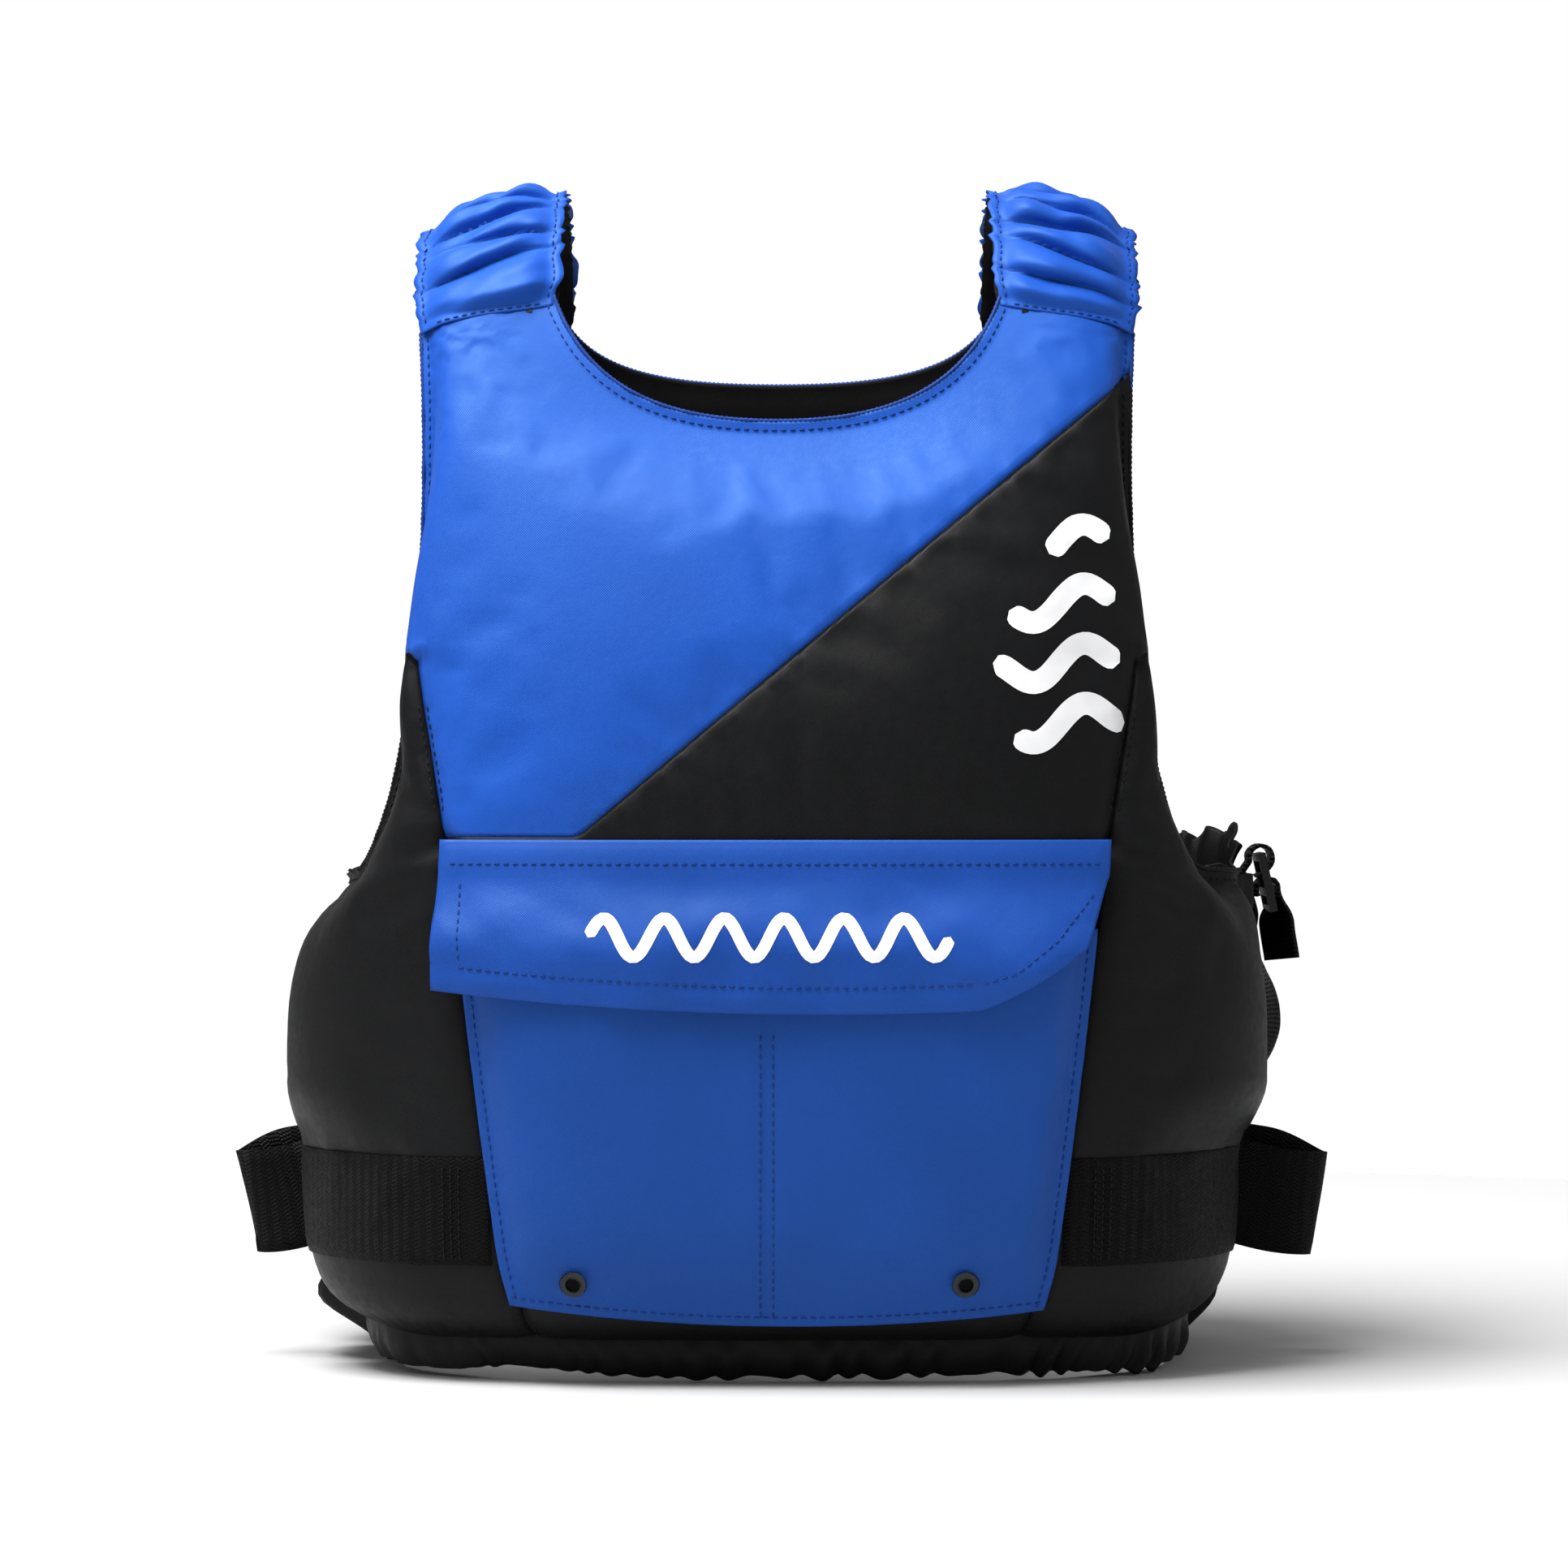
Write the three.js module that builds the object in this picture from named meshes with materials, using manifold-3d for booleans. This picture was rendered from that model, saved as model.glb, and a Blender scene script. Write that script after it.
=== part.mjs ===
// Foam buoyancy aid of the 50 N class, in the shape it has when worn, standing on its hem.
// Millimetres, +Z up. The front faces -Y, and +X is the wearer's left. The origin is at the middle of the base.
import * as THREE from "three";
import { mergeVertices } from "three/addons/utils/BufferGeometryUtils.js";
import Module from "manifold-3d";

const wasm = await Module();
wasm.setup();

// ---- Driving dimensions ----
const GAP = 0.3; // between pieces that touch
const SKIN = 1.5; // cover and lining fabric, with its seam allowance
const FOAM_DEPTH = 28; // outer face of a panel to its lining
const STRAP_DEPTH = 8; // the same, where a panel ends in a shoulder strap

const WIDEST = 212; // half the width over the foam
const WIDEST_AT = 140;
const FRONT_DEPTH = 146; // chest in front of the middle plane
const BACK_DEPTH = 160; // back behind the middle plane
const FULLEST_AT = 200; // height where chest and back stand furthest out
const EXPONENT = 3; // of the rounded-box cross section
const PANEL_EDGE = 84; // angle from the middle of a panel to its side edge, degrees

const SEAM_HEIGHT = 450; // front and back straps meet the shoulder sleeves here
const SHOULDER_TOP = 512;
const SHOULDER_DROP = 16; // from the neck side of a sleeve to its outer side
const STRAP_IN = 95;
const STRAP_OUT = 152;
const HEM_HEIGHT = 14;
const NECK_FRONT = 403;
const NECK_BACK = 432;
const ARMHOLE_BASE = 209;

const BELT_LOW = 50;
const BELT_HIGH = 95;
const WEBBING = 1.8;
const STRAP_WIDTH = 25; // webbing of the side strap

const POCKET_DEPTH = 12; // how far the pouch stands off the chest
const POCKET_TOP = 190;
const FLAP_HINGE = 215;
const FLAP_TOP = 227;
const FLAP_DEPTH = 16.6; // outer face of the flap over the pouch
const FLAP_HALF = 140;

const PANEL_ANGLES = [0, 3, 12, 24, 36, 48, 60, 72, 83.2, PANEL_EDGE];
const PANEL_LEVELS = [HEM_HEIGHT, 32, BELT_LOW, BELT_HIGH, 140, 185, 230, 275, 320, 360, 400, 425, SEAM_HEIGHT];

// ---- Materials ----
const fabric = (color, roughness) => new THREE.MeshStandardMaterial({ color, roughness, metalness: 0 });
const BLUE = fabric(0x2a5fc4, 0.55);
const BLACK = fabric(0x1e1f21, 0.6);
const LINING = fabric(0x17181a, 0.8);
const FOAM = fabric(0xd9dbd6, 0.9);
const WEB = fabric(0x121314, 0.75);
const ELASTIC = fabric(0x2b2b2d, 0.8);
const PLASTIC = fabric(0x0f1011, 0.4);
const BRASS = new THREE.MeshStandardMaterial({ color: 0x25221f, roughness: 0.35, metalness: 0.8 });

// ---- The torso's outer surface ----
const root = (value) => Math.sign(value) * Math.abs(value) ** (2 / EXPONENT);
const ease = (t) => {
  const u = Math.min(1, Math.max(0, t));
  return u * u * (3 - 2 * u);
};

function halfWidth(z) {
  const tuck = z < 60 ? 24 * ((60 - z) / 60) ** 2 : 0; // the elastic hem draws the base in
  return WIDEST - 16 * ((z - WIDEST_AT) / 300) ** 2 - tuck;
}

function halfDepth(z, back) {
  const full = back ? BACK_DEPTH : FRONT_DEPTH;
  return z > FULLEST_AT
    ? full - 60 * ((z - FULLEST_AT) / (SEAM_HEIGHT - FULLEST_AT)) ** 2
    : full - 11 * ((FULLEST_AT - z) / FULLEST_AT) ** 2;
}

// depth is how far under the outer surface the point lies, and a negative depth lies outside it.
function torso(degrees, z, depth, back) {
  const t = THREE.MathUtils.degToRad(degrees);
  const y = (halfDepth(z, back) - depth) * root(Math.cos(t));
  return new THREE.Vector3((halfWidth(z) - depth) * root(Math.sin(t)), back ? y : -y, z);
}

const liningDepth = (z) => THREE.MathUtils.lerp(FOAM_DEPTH, STRAP_DEPTH, ease((z - 330) / (SEAM_HEIGHT - 330)));

// The torso's surface seen from the front: its y where it passes through x at height z.
function surfaceY(x, z, depth, back) {
  const across = Math.abs(x) / (halfWidth(z) - depth);
  const y = (halfDepth(z, back) - depth) * (1 - across ** EXPONENT) ** (1 / EXPONENT);
  return back ? y : -y;
}

// ---- Solids ----
function solid(geometry) {
  const bare = new THREE.BufferGeometry();
  bare.setAttribute("position", geometry.getAttribute("position"));
  bare.setIndex(geometry.index);
  const merged = mergeVertices(bare, 1e-4);
  return new wasm.Manifold(
    new wasm.Mesh({
      numProp: 3,
      vertProperties: new Float32Array(merged.attributes.position.array),
      triVerts: new Uint32Array(merged.index.array),
    }),
  );
}

// A closed slab between two faces, each given as point(u, v) on the same grid of u and v values.
function slab(us, vs, outer, inner, flip = false) {
  const across = us.length;
  const count = across * vs.length;
  const positions = [];
  for (const face of [outer, inner]) for (const v of vs) for (const u of us) positions.push(...face(u, v));
  const index = [];
  const quad = (a, b, c, d) => (flip ? index.push(a, c, b, a, d, c) : index.push(a, b, c, a, c, d));
  for (let j = 0; j < vs.length - 1; j++) {
    for (let i = 0; i < across - 1; i++) {
      const a = j * across + i;
      const d = a + across;
      quad(a, a + 1, d + 1, d);
      index.push(...(flip ? [count + a, count + a + 1, count + d + 1] : [count + a, count + d + 1, count + a + 1]));
      index.push(...(flip ? [count + a, count + d + 1, count + d] : [count + a, count + d, count + d + 1]));
    }
  }
  for (let j = 0; j < vs.length - 1; j++) {
    const left = j * across;
    const right = left + across - 1;
    quad(left, left + across, count + left + across, count + left);
    quad(right + across, right, count + right, count + right + across);
  }
  for (let i = 0; i < across - 1; i++) {
    const top = (vs.length - 1) * across + i;
    quad(i + 1, i, count + i, count + i + 1);
    quad(top, top + 1, count + top + 1, count + top);
  }
  const geometry = new THREE.BufferGeometry();
  geometry.setAttribute("position", new THREE.Float32BufferAttribute(positions, 3));
  geometry.setIndex(index);
  return solid(geometry);
}

const bothSides = (angles) => [...angles.slice(1).map((t) => -t).reverse(), ...angles];

// A layer of the torso between two depths, each a number or a function of height.
function layer(outer, inner, { back = false, angles = bothSides(PANEL_ANGLES), levels = PANEL_LEVELS } = {}) {
  const at = (depth) => (typeof depth === "function" ? depth : () => depth);
  const face = (depth) => (t, z) => torso(t, z, at(depth)(z), back).toArray();
  return slab(angles, levels, face(outer), face(inner), back);
}

// The outline, drawn in x and z, as a prism that runs through the front or the back of the vest.
function prism(points, back = false) {
  const shape = new THREE.Shape(points);
  const geometry = new THREE.ExtrudeGeometry(shape, { depth: 260, bevelEnabled: false });
  geometry.rotateX(Math.PI / 2);
  if (back) geometry.translate(0, 260, 0);
  return solid(geometry);
}

const point = (x, z) => new THREE.Vector2(x, z);
const box = (x0, x1, z0, z1) => [point(x0, z0), point(x1, z0), point(x1, z1), point(x0, z1)];
const mirrored = (half) => [...half, ...half.filter((p) => p.x > 0).map((p) => point(-p.x, p.y)).reverse()];

// Both edge curves run downwards from the shoulder seam, and inset moves them into the panel.
function neckCurve(back, inset = 0) {
  const low = back ? NECK_BACK : NECK_FRONT;
  const curve = new THREE.CubicBezierCurve(
    point(STRAP_IN + inset, SEAM_HEIGHT + 1),
    point(80 + inset, (SEAM_HEIGHT + 3 * low) / 4 - inset),
    point(45, low - inset),
    point(0, low - inset),
  );
  return curve.getPoints(7);
}

function armholeCurve(inset = 0) {
  const path = new THREE.Path();
  path.moveTo(STRAP_OUT - inset, SEAM_HEIGHT + 1);
  path.quadraticCurveTo(147 - inset, 370, 155 - inset, 300);
  path.bezierCurveTo(160 - inset, 255 - inset, 172, ARMHOLE_BASE + 3 - inset, 196, ARMHOLE_BASE - inset);
  path.lineTo(240, ARMHOLE_BASE - 3 - inset);
  return path.getPoints(6);
}

// The outline of a whole front or back panel, straps included.
function panelOutline(back, inset = 0) {
  const corner = new THREE.QuadraticBezierCurve(
    point(146, HEM_HEIGHT + inset),
    point(192 - inset, HEM_HEIGHT + 2 + inset),
    point(212 - inset, 56 + inset),
  );
  const side = back ? [point(240, HEM_HEIGHT + inset)] : [...corner.getPoints(4), point(240, 60 + inset)];
  const top = neckCurve(back, inset).map((p) => point(p.x, Math.min(p.y, SEAM_HEIGHT - inset)));
  const arm = armholeCurve(inset).map((p) => point(p.x, Math.min(p.y, SEAM_HEIGHT - inset)));
  return mirrored([point(0, HEM_HEIGHT - 1 + inset), ...side, ...arm.reverse(), ...top]);
}

// The seam between the middle of a panel and its wing leans outwards.
const wingSeam = (z) => 103 + (z - 5) * 0.167;
const middleOutline = (offset) =>
  mirrored([point(wingSeam(0) + offset, 0), point(wingSeam(300) + offset, 300), point(170, 380), point(170, 460)]);
function wingOutline(side, offset) {
  const edge = [point(wingSeam(0) + offset, 0), point(wingSeam(300) + offset, 300)];
  return [...edge, point(260, 300), point(260, 0)].map((p) => point(side * p.x, p.y));
}

// The slanted seam of the chest, from the flap's upper left to the left armhole.
const slantZ = (x) => 226 + (x + 85) * (420 - 226) / (146 + 85);
const aboveSlant = (offset) => [
  point(-260, 228 + offset),
  point(-82.6, 228 + offset),
  point(170, slantZ(170) + offset),
  point(170, 470),
  point(-260, 470),
];

// ---- The assembly ----
const vest = new THREE.Group();
function add(name, body, material) {
  const mesh = body.getMesh();
  const geometry = new THREE.BufferGeometry();
  geometry.setAttribute("position", new THREE.BufferAttribute(new Float32Array(mesh.vertProperties), 3));
  geometry.setIndex(new THREE.BufferAttribute(new Uint32Array(mesh.triVerts), 1));
  const made = new THREE.Mesh(geometry, material);
  made.name = name;
  vest.add(made);
}

// ---- Panels: a tray of cover fabric, the foam block in it, and the lining behind ----
function panelTray(back) {
  const whole = layer(0, liningDepth, { back }).intersect(prism(panelOutline(back), back));
  const inside = bothSides(PANEL_ANGLES.slice(0, -1));
  const hollow = layer(SKIN, (z) => liningDepth(z) + 3, { back, angles: inside });
  return whole.subtract(hollow.intersect(prism(panelOutline(back, 2), back)));
}

function panelFoam(back) {
  const inside = bothSides([...PANEL_ANGLES.slice(0, -2), 82.8]);
  const body = layer(SKIN + GAP, (z) => liningDepth(z) - GAP, { back, angles: inside });
  return body.intersect(prism(panelOutline(back, 2.4), back));
}

const middle = (back, offset) => prism(middleOutline(offset), back);
const wing = (side, back, offset) => prism(wingOutline(side, offset), back);
const SIDES = { left: 1, right: -1 }; // the wearer's left is +X

function addPanels() {
  const front = panelTray(false);
  const chest = front.intersect(middle(false, -GAP / 2));
  add("front_cover_upper", chest.intersect(prism(aboveSlant(GAP / 2))), BLUE);
  add("front_cover_lower", chest.subtract(prism(aboveSlant(-GAP / 2))), BLACK);
  const back = panelTray(true);
  const yoke = box(-260, 260, 300 + GAP / 2, 470);
  const below = box(-260, 260, 0, 300 - GAP / 2);
  add("back_cover_yoke", back.intersect(prism(yoke, true)), BLUE);
  add("back_cover_lower", back.intersect(prism(below, true)), BLACK);
  for (const [name, isBack] of [["front", false], ["back", true]]) {
    const foam = panelFoam(isBack);
    add(`${name}_foam_middle`, foam.intersect(middle(isBack, -1)), FOAM);
    for (const [sideName, side] of Object.entries(SIDES)) {
      add(`${name}_foam_${sideName}`, foam.intersect(wing(side, isBack, 1)), FOAM);
      if (!isBack) {
        add(`front_cover_wing_${sideName}`, front.intersect(wing(side, false, GAP / 2)), BLACK);
      }
    }
    const sheet = layer((z) => liningDepth(z) + GAP, (z) => liningDepth(z) + GAP + SKIN, { back: isBack });
    add(`${name}_lining`, sheet.intersect(prism(panelOutline(isBack), isBack)), LINING);
  }
}

// ---- Bindings: a folded tape over the raw edge of the neck and the armholes ----
const TAPE = 2.2;
function tapeOutline(curve, side) {
  const near = curve(-GAP).map((p) => point(side * p.x, p.y));
  const far = curve(-GAP - TAPE).map((p) => point(side * p.x, p.y));
  return [...near, ...far.reverse()];
}

function addBindings() {
  for (const [name, back] of [["front", false], ["back", true]]) {
    const reach = layer(-0.8, (z) => liningDepth(z) + 2.6, { back });
    const cut = prism(box(-260, 260, 0, SEAM_HEIGHT - GAP), back);
    const edge = (inset) => mirrored(neckCurve(back, inset));
    const neck = prism(edge(-GAP), back).subtract(prism(edge(-GAP - TAPE), back));
    add(`neck_binding_${name}`, reach.intersect(neck).intersect(cut), BLUE);
    for (const [sideName, side] of Object.entries(SIDES)) {
      const tape = prism(tapeOutline(armholeCurve, side), back);
      add(`armhole_binding_${name}_${sideName}`, reach.intersect(tape).intersect(cut), BLACK);
    }
  }
}

// ---- Shoulder sleeves: a flat tube of gathered fabric over a band of elastic ----
// Front and back halves are quarter ellipses that leave the panels along their own slope.
function shoulderArc(back) {
  const reach = halfDepth(SEAM_HEIGHT, back);
  const rise = SHOULDER_TOP - SEAM_HEIGHT;
  const slope = (2 * 60) / (SEAM_HEIGHT - FULLEST_AT);
  const cosine = rise / (reach / slope - rise);
  const height = rise / (1 - cosine);
  return { cosine, height, depth: reach / Math.sqrt(1 - cosine ** 2), end: Math.acos(cosine) };
}

// t runs from -1 at the front seam, over the top at 0, to 1 at the back seam.
function shoulder(x, t, depth) {
  const arc = shoulderArc(t > 0);
  const angle = Math.abs(t) * arc.end;
  const cosine = Math.cos(angle);
  const lift = (cosine - arc.cosine) / (1 - arc.cosine);
  const drop = (SHOULDER_DROP * (Math.abs(x) - STRAP_IN)) / (STRAP_OUT - STRAP_IN);
  const across = (1 - (Math.abs(x) / halfWidth(SEAM_HEIGHT)) ** EXPONENT) ** (1 / EXPONENT);
  const y = (arc.depth - depth) * Math.sin(angle) * across * Math.sign(t || 1);
  return [x, y, SHOULDER_TOP + (arc.height - depth) * (cosine - 1) - depth - drop * lift];
}

function shoulderTube(side, from, to, [high, low], end) {
  const xs = [0, 0.33, 0.67, 1].map((s) => side * THREE.MathUtils.lerp(from, to, s));
  const ts = [-1, -0.75, -0.5, -0.25, 0, 0.25, 0.5, 0.75, 1].map((t) => t * end);
  return slab(xs, ts, (x, t) => shoulder(x, t, high), (x, t) => shoulder(x, t, low), side < 0);
}

function addShoulders() {
  const above = block(-200, 200, -200, 200, SEAM_HEIGHT + GAP, 600);
  for (const [sideName, side] of Object.entries(SIDES)) {
    const outside = shoulderTube(side, STRAP_IN, STRAP_OUT, [-1, STRAP_DEPTH + 1], 1.05);
    const inside = shoulderTube(side, STRAP_IN + 4, STRAP_OUT - 4, [1.4, STRAP_DEPTH - 1.4], 1.1);
    add(`shoulder_sleeve_${sideName}`, outside.subtract(inside).intersect(above), BLUE);
    const band = shoulderTube(side, STRAP_IN + 9, STRAP_OUT - 9, [2.8, STRAP_DEPTH - 2.8], 1.05);
    add(`shoulder_elastic_${sideName}`, band.intersect(above), ELASTIC);
  }
}

// ---- Side gussets, and the hem casings with the elastic inside them ----
function addSides() {
  const GUSSET = [13, 16]; // depth of its two faces
  const levels = [0, 14, 32, 50, 95, 140, 185, 204];
  const turns = [PANEL_EDGE + 0.4, 87, 90, 93, 180 - PANEL_EDGE - 0.4];
  const face = (side, depth) => (t, z) => {
    const p = torso(t > 90 ? 180 - t : t, z, depth, t > 90);
    return [side * p.x, p.y, z];
  };
  for (const [sideName, side] of Object.entries(SIDES)) {
    const cloth = slab(turns, levels, face(side, GUSSET[0]), face(side, GUSSET[1]), side < 0);
    add(`side_gusset_${sideName}`, cloth, BLACK);
  }
  for (const [name, back] of [["front", false], ["back", true]]) {
    const angles = bothSides(back ? PANEL_ANGLES : [0, 3, 12, 24, 34]);
    const band = layer(13, 23, { back, angles, levels: [0, HEM_HEIGHT - 1 - GAP] });
    const channel = layer(15, 21, { back, angles, levels: [3, 11] });
    const cord = layer(15.6, 20.4, { back, angles, levels: [4, 10] });
    add(`hem_casing_${name}`, band.subtract(channel), BLACK);
    add(`hem_elastic_${name}`, cord, ELASTIC);
  }
}

// ---- Pocket: a pouch that stands off the chest, its divider, tapes and drain eyelets ----
function pouchOutline(inset, top) {
  const bottom = new THREE.QuadraticBezierCurve(
    point(-110.5 + inset, 34 + inset),
    point(0, 19 + inset),
    point(110.5 - inset, 32 + inset),
  );
  return [...bottom.getPoints(6), point(133 - inset, top), point(-133 + inset, top)];
}

function eyeletPlace(x, z, depth) {
  const lean = 0.08; // the chest leans back a little below its fullest height
  const turn = Math.sign(x) * 0.12;
  const at = new THREE.Vector3(x, surfaceY(x, z, depth, false), z);
  const aim = new THREE.Vector3(Math.sin(turn), -1, -lean).normalize();
  const turned = new THREE.Quaternion().setFromUnitVectors(new THREE.Vector3(0, 1, 0), aim);
  return new THREE.Matrix4().compose(at, turned, new THREE.Vector3(1, 1, 1));
}

function ring(profile, place) {
  const closed = [...profile, profile[0]].map(([r, h]) => point(r, h));
  return solid(new THREE.LatheGeometry(closed, 20).applyMatrix4(place));
}

function addPocket() {
  const FACE = 1.6;
  const cloth = layer(-POCKET_DEPTH, -GAP).intersect(prism(pouchOutline(0, POCKET_TOP)));
  const room = layer(-POCKET_DEPTH + FACE, 2).intersect(prism(pouchOutline(1.8, POCKET_TOP + 5)));
  let pouch = cloth.subtract(room);
  const EYELETS = { left: 78, right: -84 };
  for (const [sideName, x] of Object.entries(EYELETS)) {
    const place = eyeletPlace(x, 43.5, -POCKET_DEPTH);
    const hole = new THREE.CylinderGeometry(3.4, 3.4, 14, 20).applyMatrix4(place);
    pouch = pouch.subtract(solid(hole));
    const shank = [[2.5, -3.4], [3.1, -3.4], [3.1, 0.4], [5.7, 0.4], [5.4, 1.4], [3.4, 1.8], [2.5, 1.2]];
    add(`drain_eyelet_${sideName}`, ring(shank, place), BRASS);
    add(`eyelet_washer_${sideName}`, ring([[3.4, -3.2], [5.2, -3.2], [5.2, -2.4], [3.4, -2.4]], place), BRASS);
  }
  add("pocket_pouch", pouch, BLUE);
  const wall = layer(-POCKET_DEPTH + FACE + GAP, -GAP - 0.2).intersect(prism(box(-4.8, -3.2, 29, POCKET_TOP - 4)));
  add("pocket_divider", wall, BLUE);
  const loops = layer(-POCKET_DEPTH - 0.9, -POCKET_DEPTH - GAP / 2);
  add("pocket_loop_tape", loops.intersect(prism(box(-70, 70, 163, 183))), BLACK);
}

// ---- Flap: hangs over the pouch from its header ----
// Depth of the flap's outer face: close to the chest at the hinge, and clear of the pouch below.
const flapRise = (z) => -THREE.MathUtils.lerp(2.4, FLAP_DEPTH, ease((FLAP_HINGE - z) / 24));
const flapLevels = [150, 163, 183, 190, 199, 207, FLAP_HINGE - GAP];

function addFlap() {
  const header = layer(-2.4, -GAP, { levels: [FLAP_HINGE, FLAP_TOP] });
  add("flap_header", header.intersect(prism(box(-FLAP_HALF, FLAP_HALF - 1, 200, 240))), BLUE);
  const cloth = layer(flapRise, (z) => flapRise(z) + 1.8, { levels: flapLevels });
  const edge = new THREE.Path();
  edge.moveTo(-FLAP_HALF, 240);
  edge.lineTo(-FLAP_HALF - 3, 165);
  edge.quadraticCurveTo(0, 150, 84, 157);
  edge.quadraticCurveTo(104, 164, 128, 182);
  edge.lineTo(FLAP_HALF - 2, 212);
  edge.lineTo(FLAP_HALF - 2, 240);
  add("pocket_flap", cloth.intersect(prism(edge.getPoints(6))), BLUE);
  const hooks = layer(-FLAP_DEPTH + 1.8 + GAP / 2, -POCKET_DEPTH - 0.9 - GAP, { levels: [163, 183] });
  add("flap_hook_tape", hooks.intersect(prism(box(-70, 70, 163, 183))), BLACK);
}

// ---- Waist belt, and the pull loops at its two sides ----
// A folded strip of webbing standing on edge: out along one leg, round the tip and back, drooping outwards.
const LOOP_ROOT = { x: 203.4, y: -14, near: 6, wide: 9.5, droop: 9 };
function foldedLoop(side, reach) {
  const { x, y, near, wide, droop } = LOOP_ROOT;
  const run = reach - x;
  const shape = new THREE.Shape();
  shape.moveTo(0, -near);
  shape.bezierCurveTo(run * 0.35, -wide, run * 0.7, -wide, run - 2, -2.6);
  shape.quadraticCurveTo(run, 0, run - 2, 2.6);
  shape.bezierCurveTo(run * 0.7, wide, run * 0.35, wide, 0, near);
  shape.lineTo(0, near - WEBBING);
  shape.bezierCurveTo(run * 0.35, wide - WEBBING, run * 0.62, wide - WEBBING, run - 4.4, 1.2);
  shape.quadraticCurveTo(run - 3, 0, run - 4.4, -1.2);
  shape.bezierCurveTo(run * 0.62, WEBBING - wide, run * 0.35, WEBBING - wide, 0, WEBBING - near);
  shape.closePath();
  const width = BELT_HIGH - BELT_LOW;
  const strip = new THREE.ExtrudeGeometry(shape, { depth: width, bevelEnabled: false, curveSegments: 5 });
  strip.translate(0, 0, -width / 2).rotateY(THREE.MathUtils.degToRad(droop));
  const placed = solid(strip.translate(x, y, (BELT_LOW + BELT_HIGH) / 2));
  return side > 0 ? placed : placed.mirror([1, 0, 0]);
}

function addBelt() {
  const OUTER = [-WEBBING - GAP, -GAP];
  const levels = [BELT_LOW, BELT_HIGH];
  for (const [sideName, side] of Object.entries(SIDES)) {
    const reach = side > 0 ? [122, 260] : [-260, -122];
    const strip = layer(...OUTER, { levels }).intersect(prism(box(...reach, 0, 200)));
    add(`waist_belt_${sideName}`, strip, WEB);
    add(`pull_loop_${sideName}`, foldedLoop(side, side > 0 ? 234 : 231), WEB);
  }
  add("waist_belt_back", layer(...OUTER, { back: true, levels }), WEB);
}

// ---- Side strap on the wearer's left: anchor webbing, ladder lock, slack strap and its tail ----
// Each strip is drawn in x and z and has the webbing's width along y.
const STRAP_Y = 4; // middle of the strap
function strip(points, thickness, width) {
  const line = new THREE.CatmullRomCurve3(points.map(([x, z]) => new THREE.Vector3(x, z, 0)));
  const steps = 4 * (points.length - 1);
  const sides = [[], []];
  for (let i = 0; i <= steps; i++) {
    const p = line.getPoint(i / steps);
    const t = line.getTangent(i / steps);
    sides[0].push(point(p.x - (t.y * thickness) / 2, p.y + (t.x * thickness) / 2));
    sides[1].push(point(p.x + (t.y * thickness) / 2, p.y - (t.x * thickness) / 2));
  }
  const shape = new THREE.Shape([...sides[0], ...sides[1].reverse()]);
  const geometry = new THREE.ExtrudeGeometry(shape, { depth: width, bevelEnabled: false });
  geometry.rotateX(Math.PI / 2).translate(0, STRAP_Y + width / 2, 0);
  return solid(geometry);
}

function block(x0, x1, y0, y1, z0, z1) {
  const geometry = new THREE.BoxGeometry(x1 - x0, y1 - y0, z1 - z0);
  return solid(geometry.translate((x0 + x1) / 2, (y0 + y1) / 2, (z0 + z1) / 2));
}

// The ladder lock hangs from its top bar and leans outwards. On it, u runs down the frame from the middle of
// the top bar, and w out of its face.
const LOCK = { x: 212, z: 218, lean: 12, half: 16.5, rail: 3, thick: 3.4 };
const LOCK_BARS = { top: [-1.7, 1.7], middle: [13.3, 17.1], bottom: [21.1, 24.3] };
const leanSin = Math.sin(THREE.MathUtils.degToRad(LOCK.lean));
const leanCos = Math.cos(THREE.MathUtils.degToRad(LOCK.lean));
const onLock = (u, w) => [LOCK.x + u * leanSin + w * leanCos, LOCK.z - u * leanCos + w * leanSin];

function lockFrame() {
  const { half, rail, thick } = LOCK;
  const { top, middle: bar, bottom } = LOCK_BARS;
  const slot = (u0, u1) => block(-9, 9, rail - half, half - rail, -u1, -u0);
  const whole = block(-thick / 2, thick / 2, -half, half, -bottom[1], -top[0]);
  const frame = whole.subtract(slot(top[1], bar[0])).subtract(slot(bar[1], bottom[0]));
  return frame.rotate([0, -LOCK.lean, 0]).translate([LOCK.x, STRAP_Y, LOCK.z]);
}

function addSideStrap() {
  add("ladder_lock", lockFrame(), PLASTIC);
  const anchor = [[200.4, 184], [201, 198], [204.8, 210]];
  const overBar = [[1.5, -4.2], [-2, -3.4], [-3.8, 0], [-2, 3.4], [2.5, 3.4], [5.5, 0], [7, -3.6]];
  add("buckle_anchor", strip([...anchor, ...overBar.map((p) => onLock(...p))], WEBBING, STRAP_WIDTH), WEB);
  const slack = [[200.4, 104], [203, 113], [213.5, 127], [220.5, 146], [218, 167], [211.5, 182]];
  const behind = [onLock(24, -6.5), onLock(14, -6.5)];
  add("side_strap", strip([...slack, ...behind], WEBBING, STRAP_WIDTH - 1), WEB);
  const hook = [[16.4, -3.6], [13.4, -3.6], [11.3, -1.6], [11.3, 1.6], [13.4, 3.6]];
  const tail = [...hook, [22, 3.5], [31, 4.6], [44, 7.4]].map((p) => onLock(...p));
  add("strap_tail", strip(tail, WEBBING, STRAP_WIDTH - 1), WEB);
}

addPanels();
addBindings();
addShoulders();
addSides();
addPocket();
addFlap();
addBelt();
addSideStrap();

export default vest;
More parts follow.
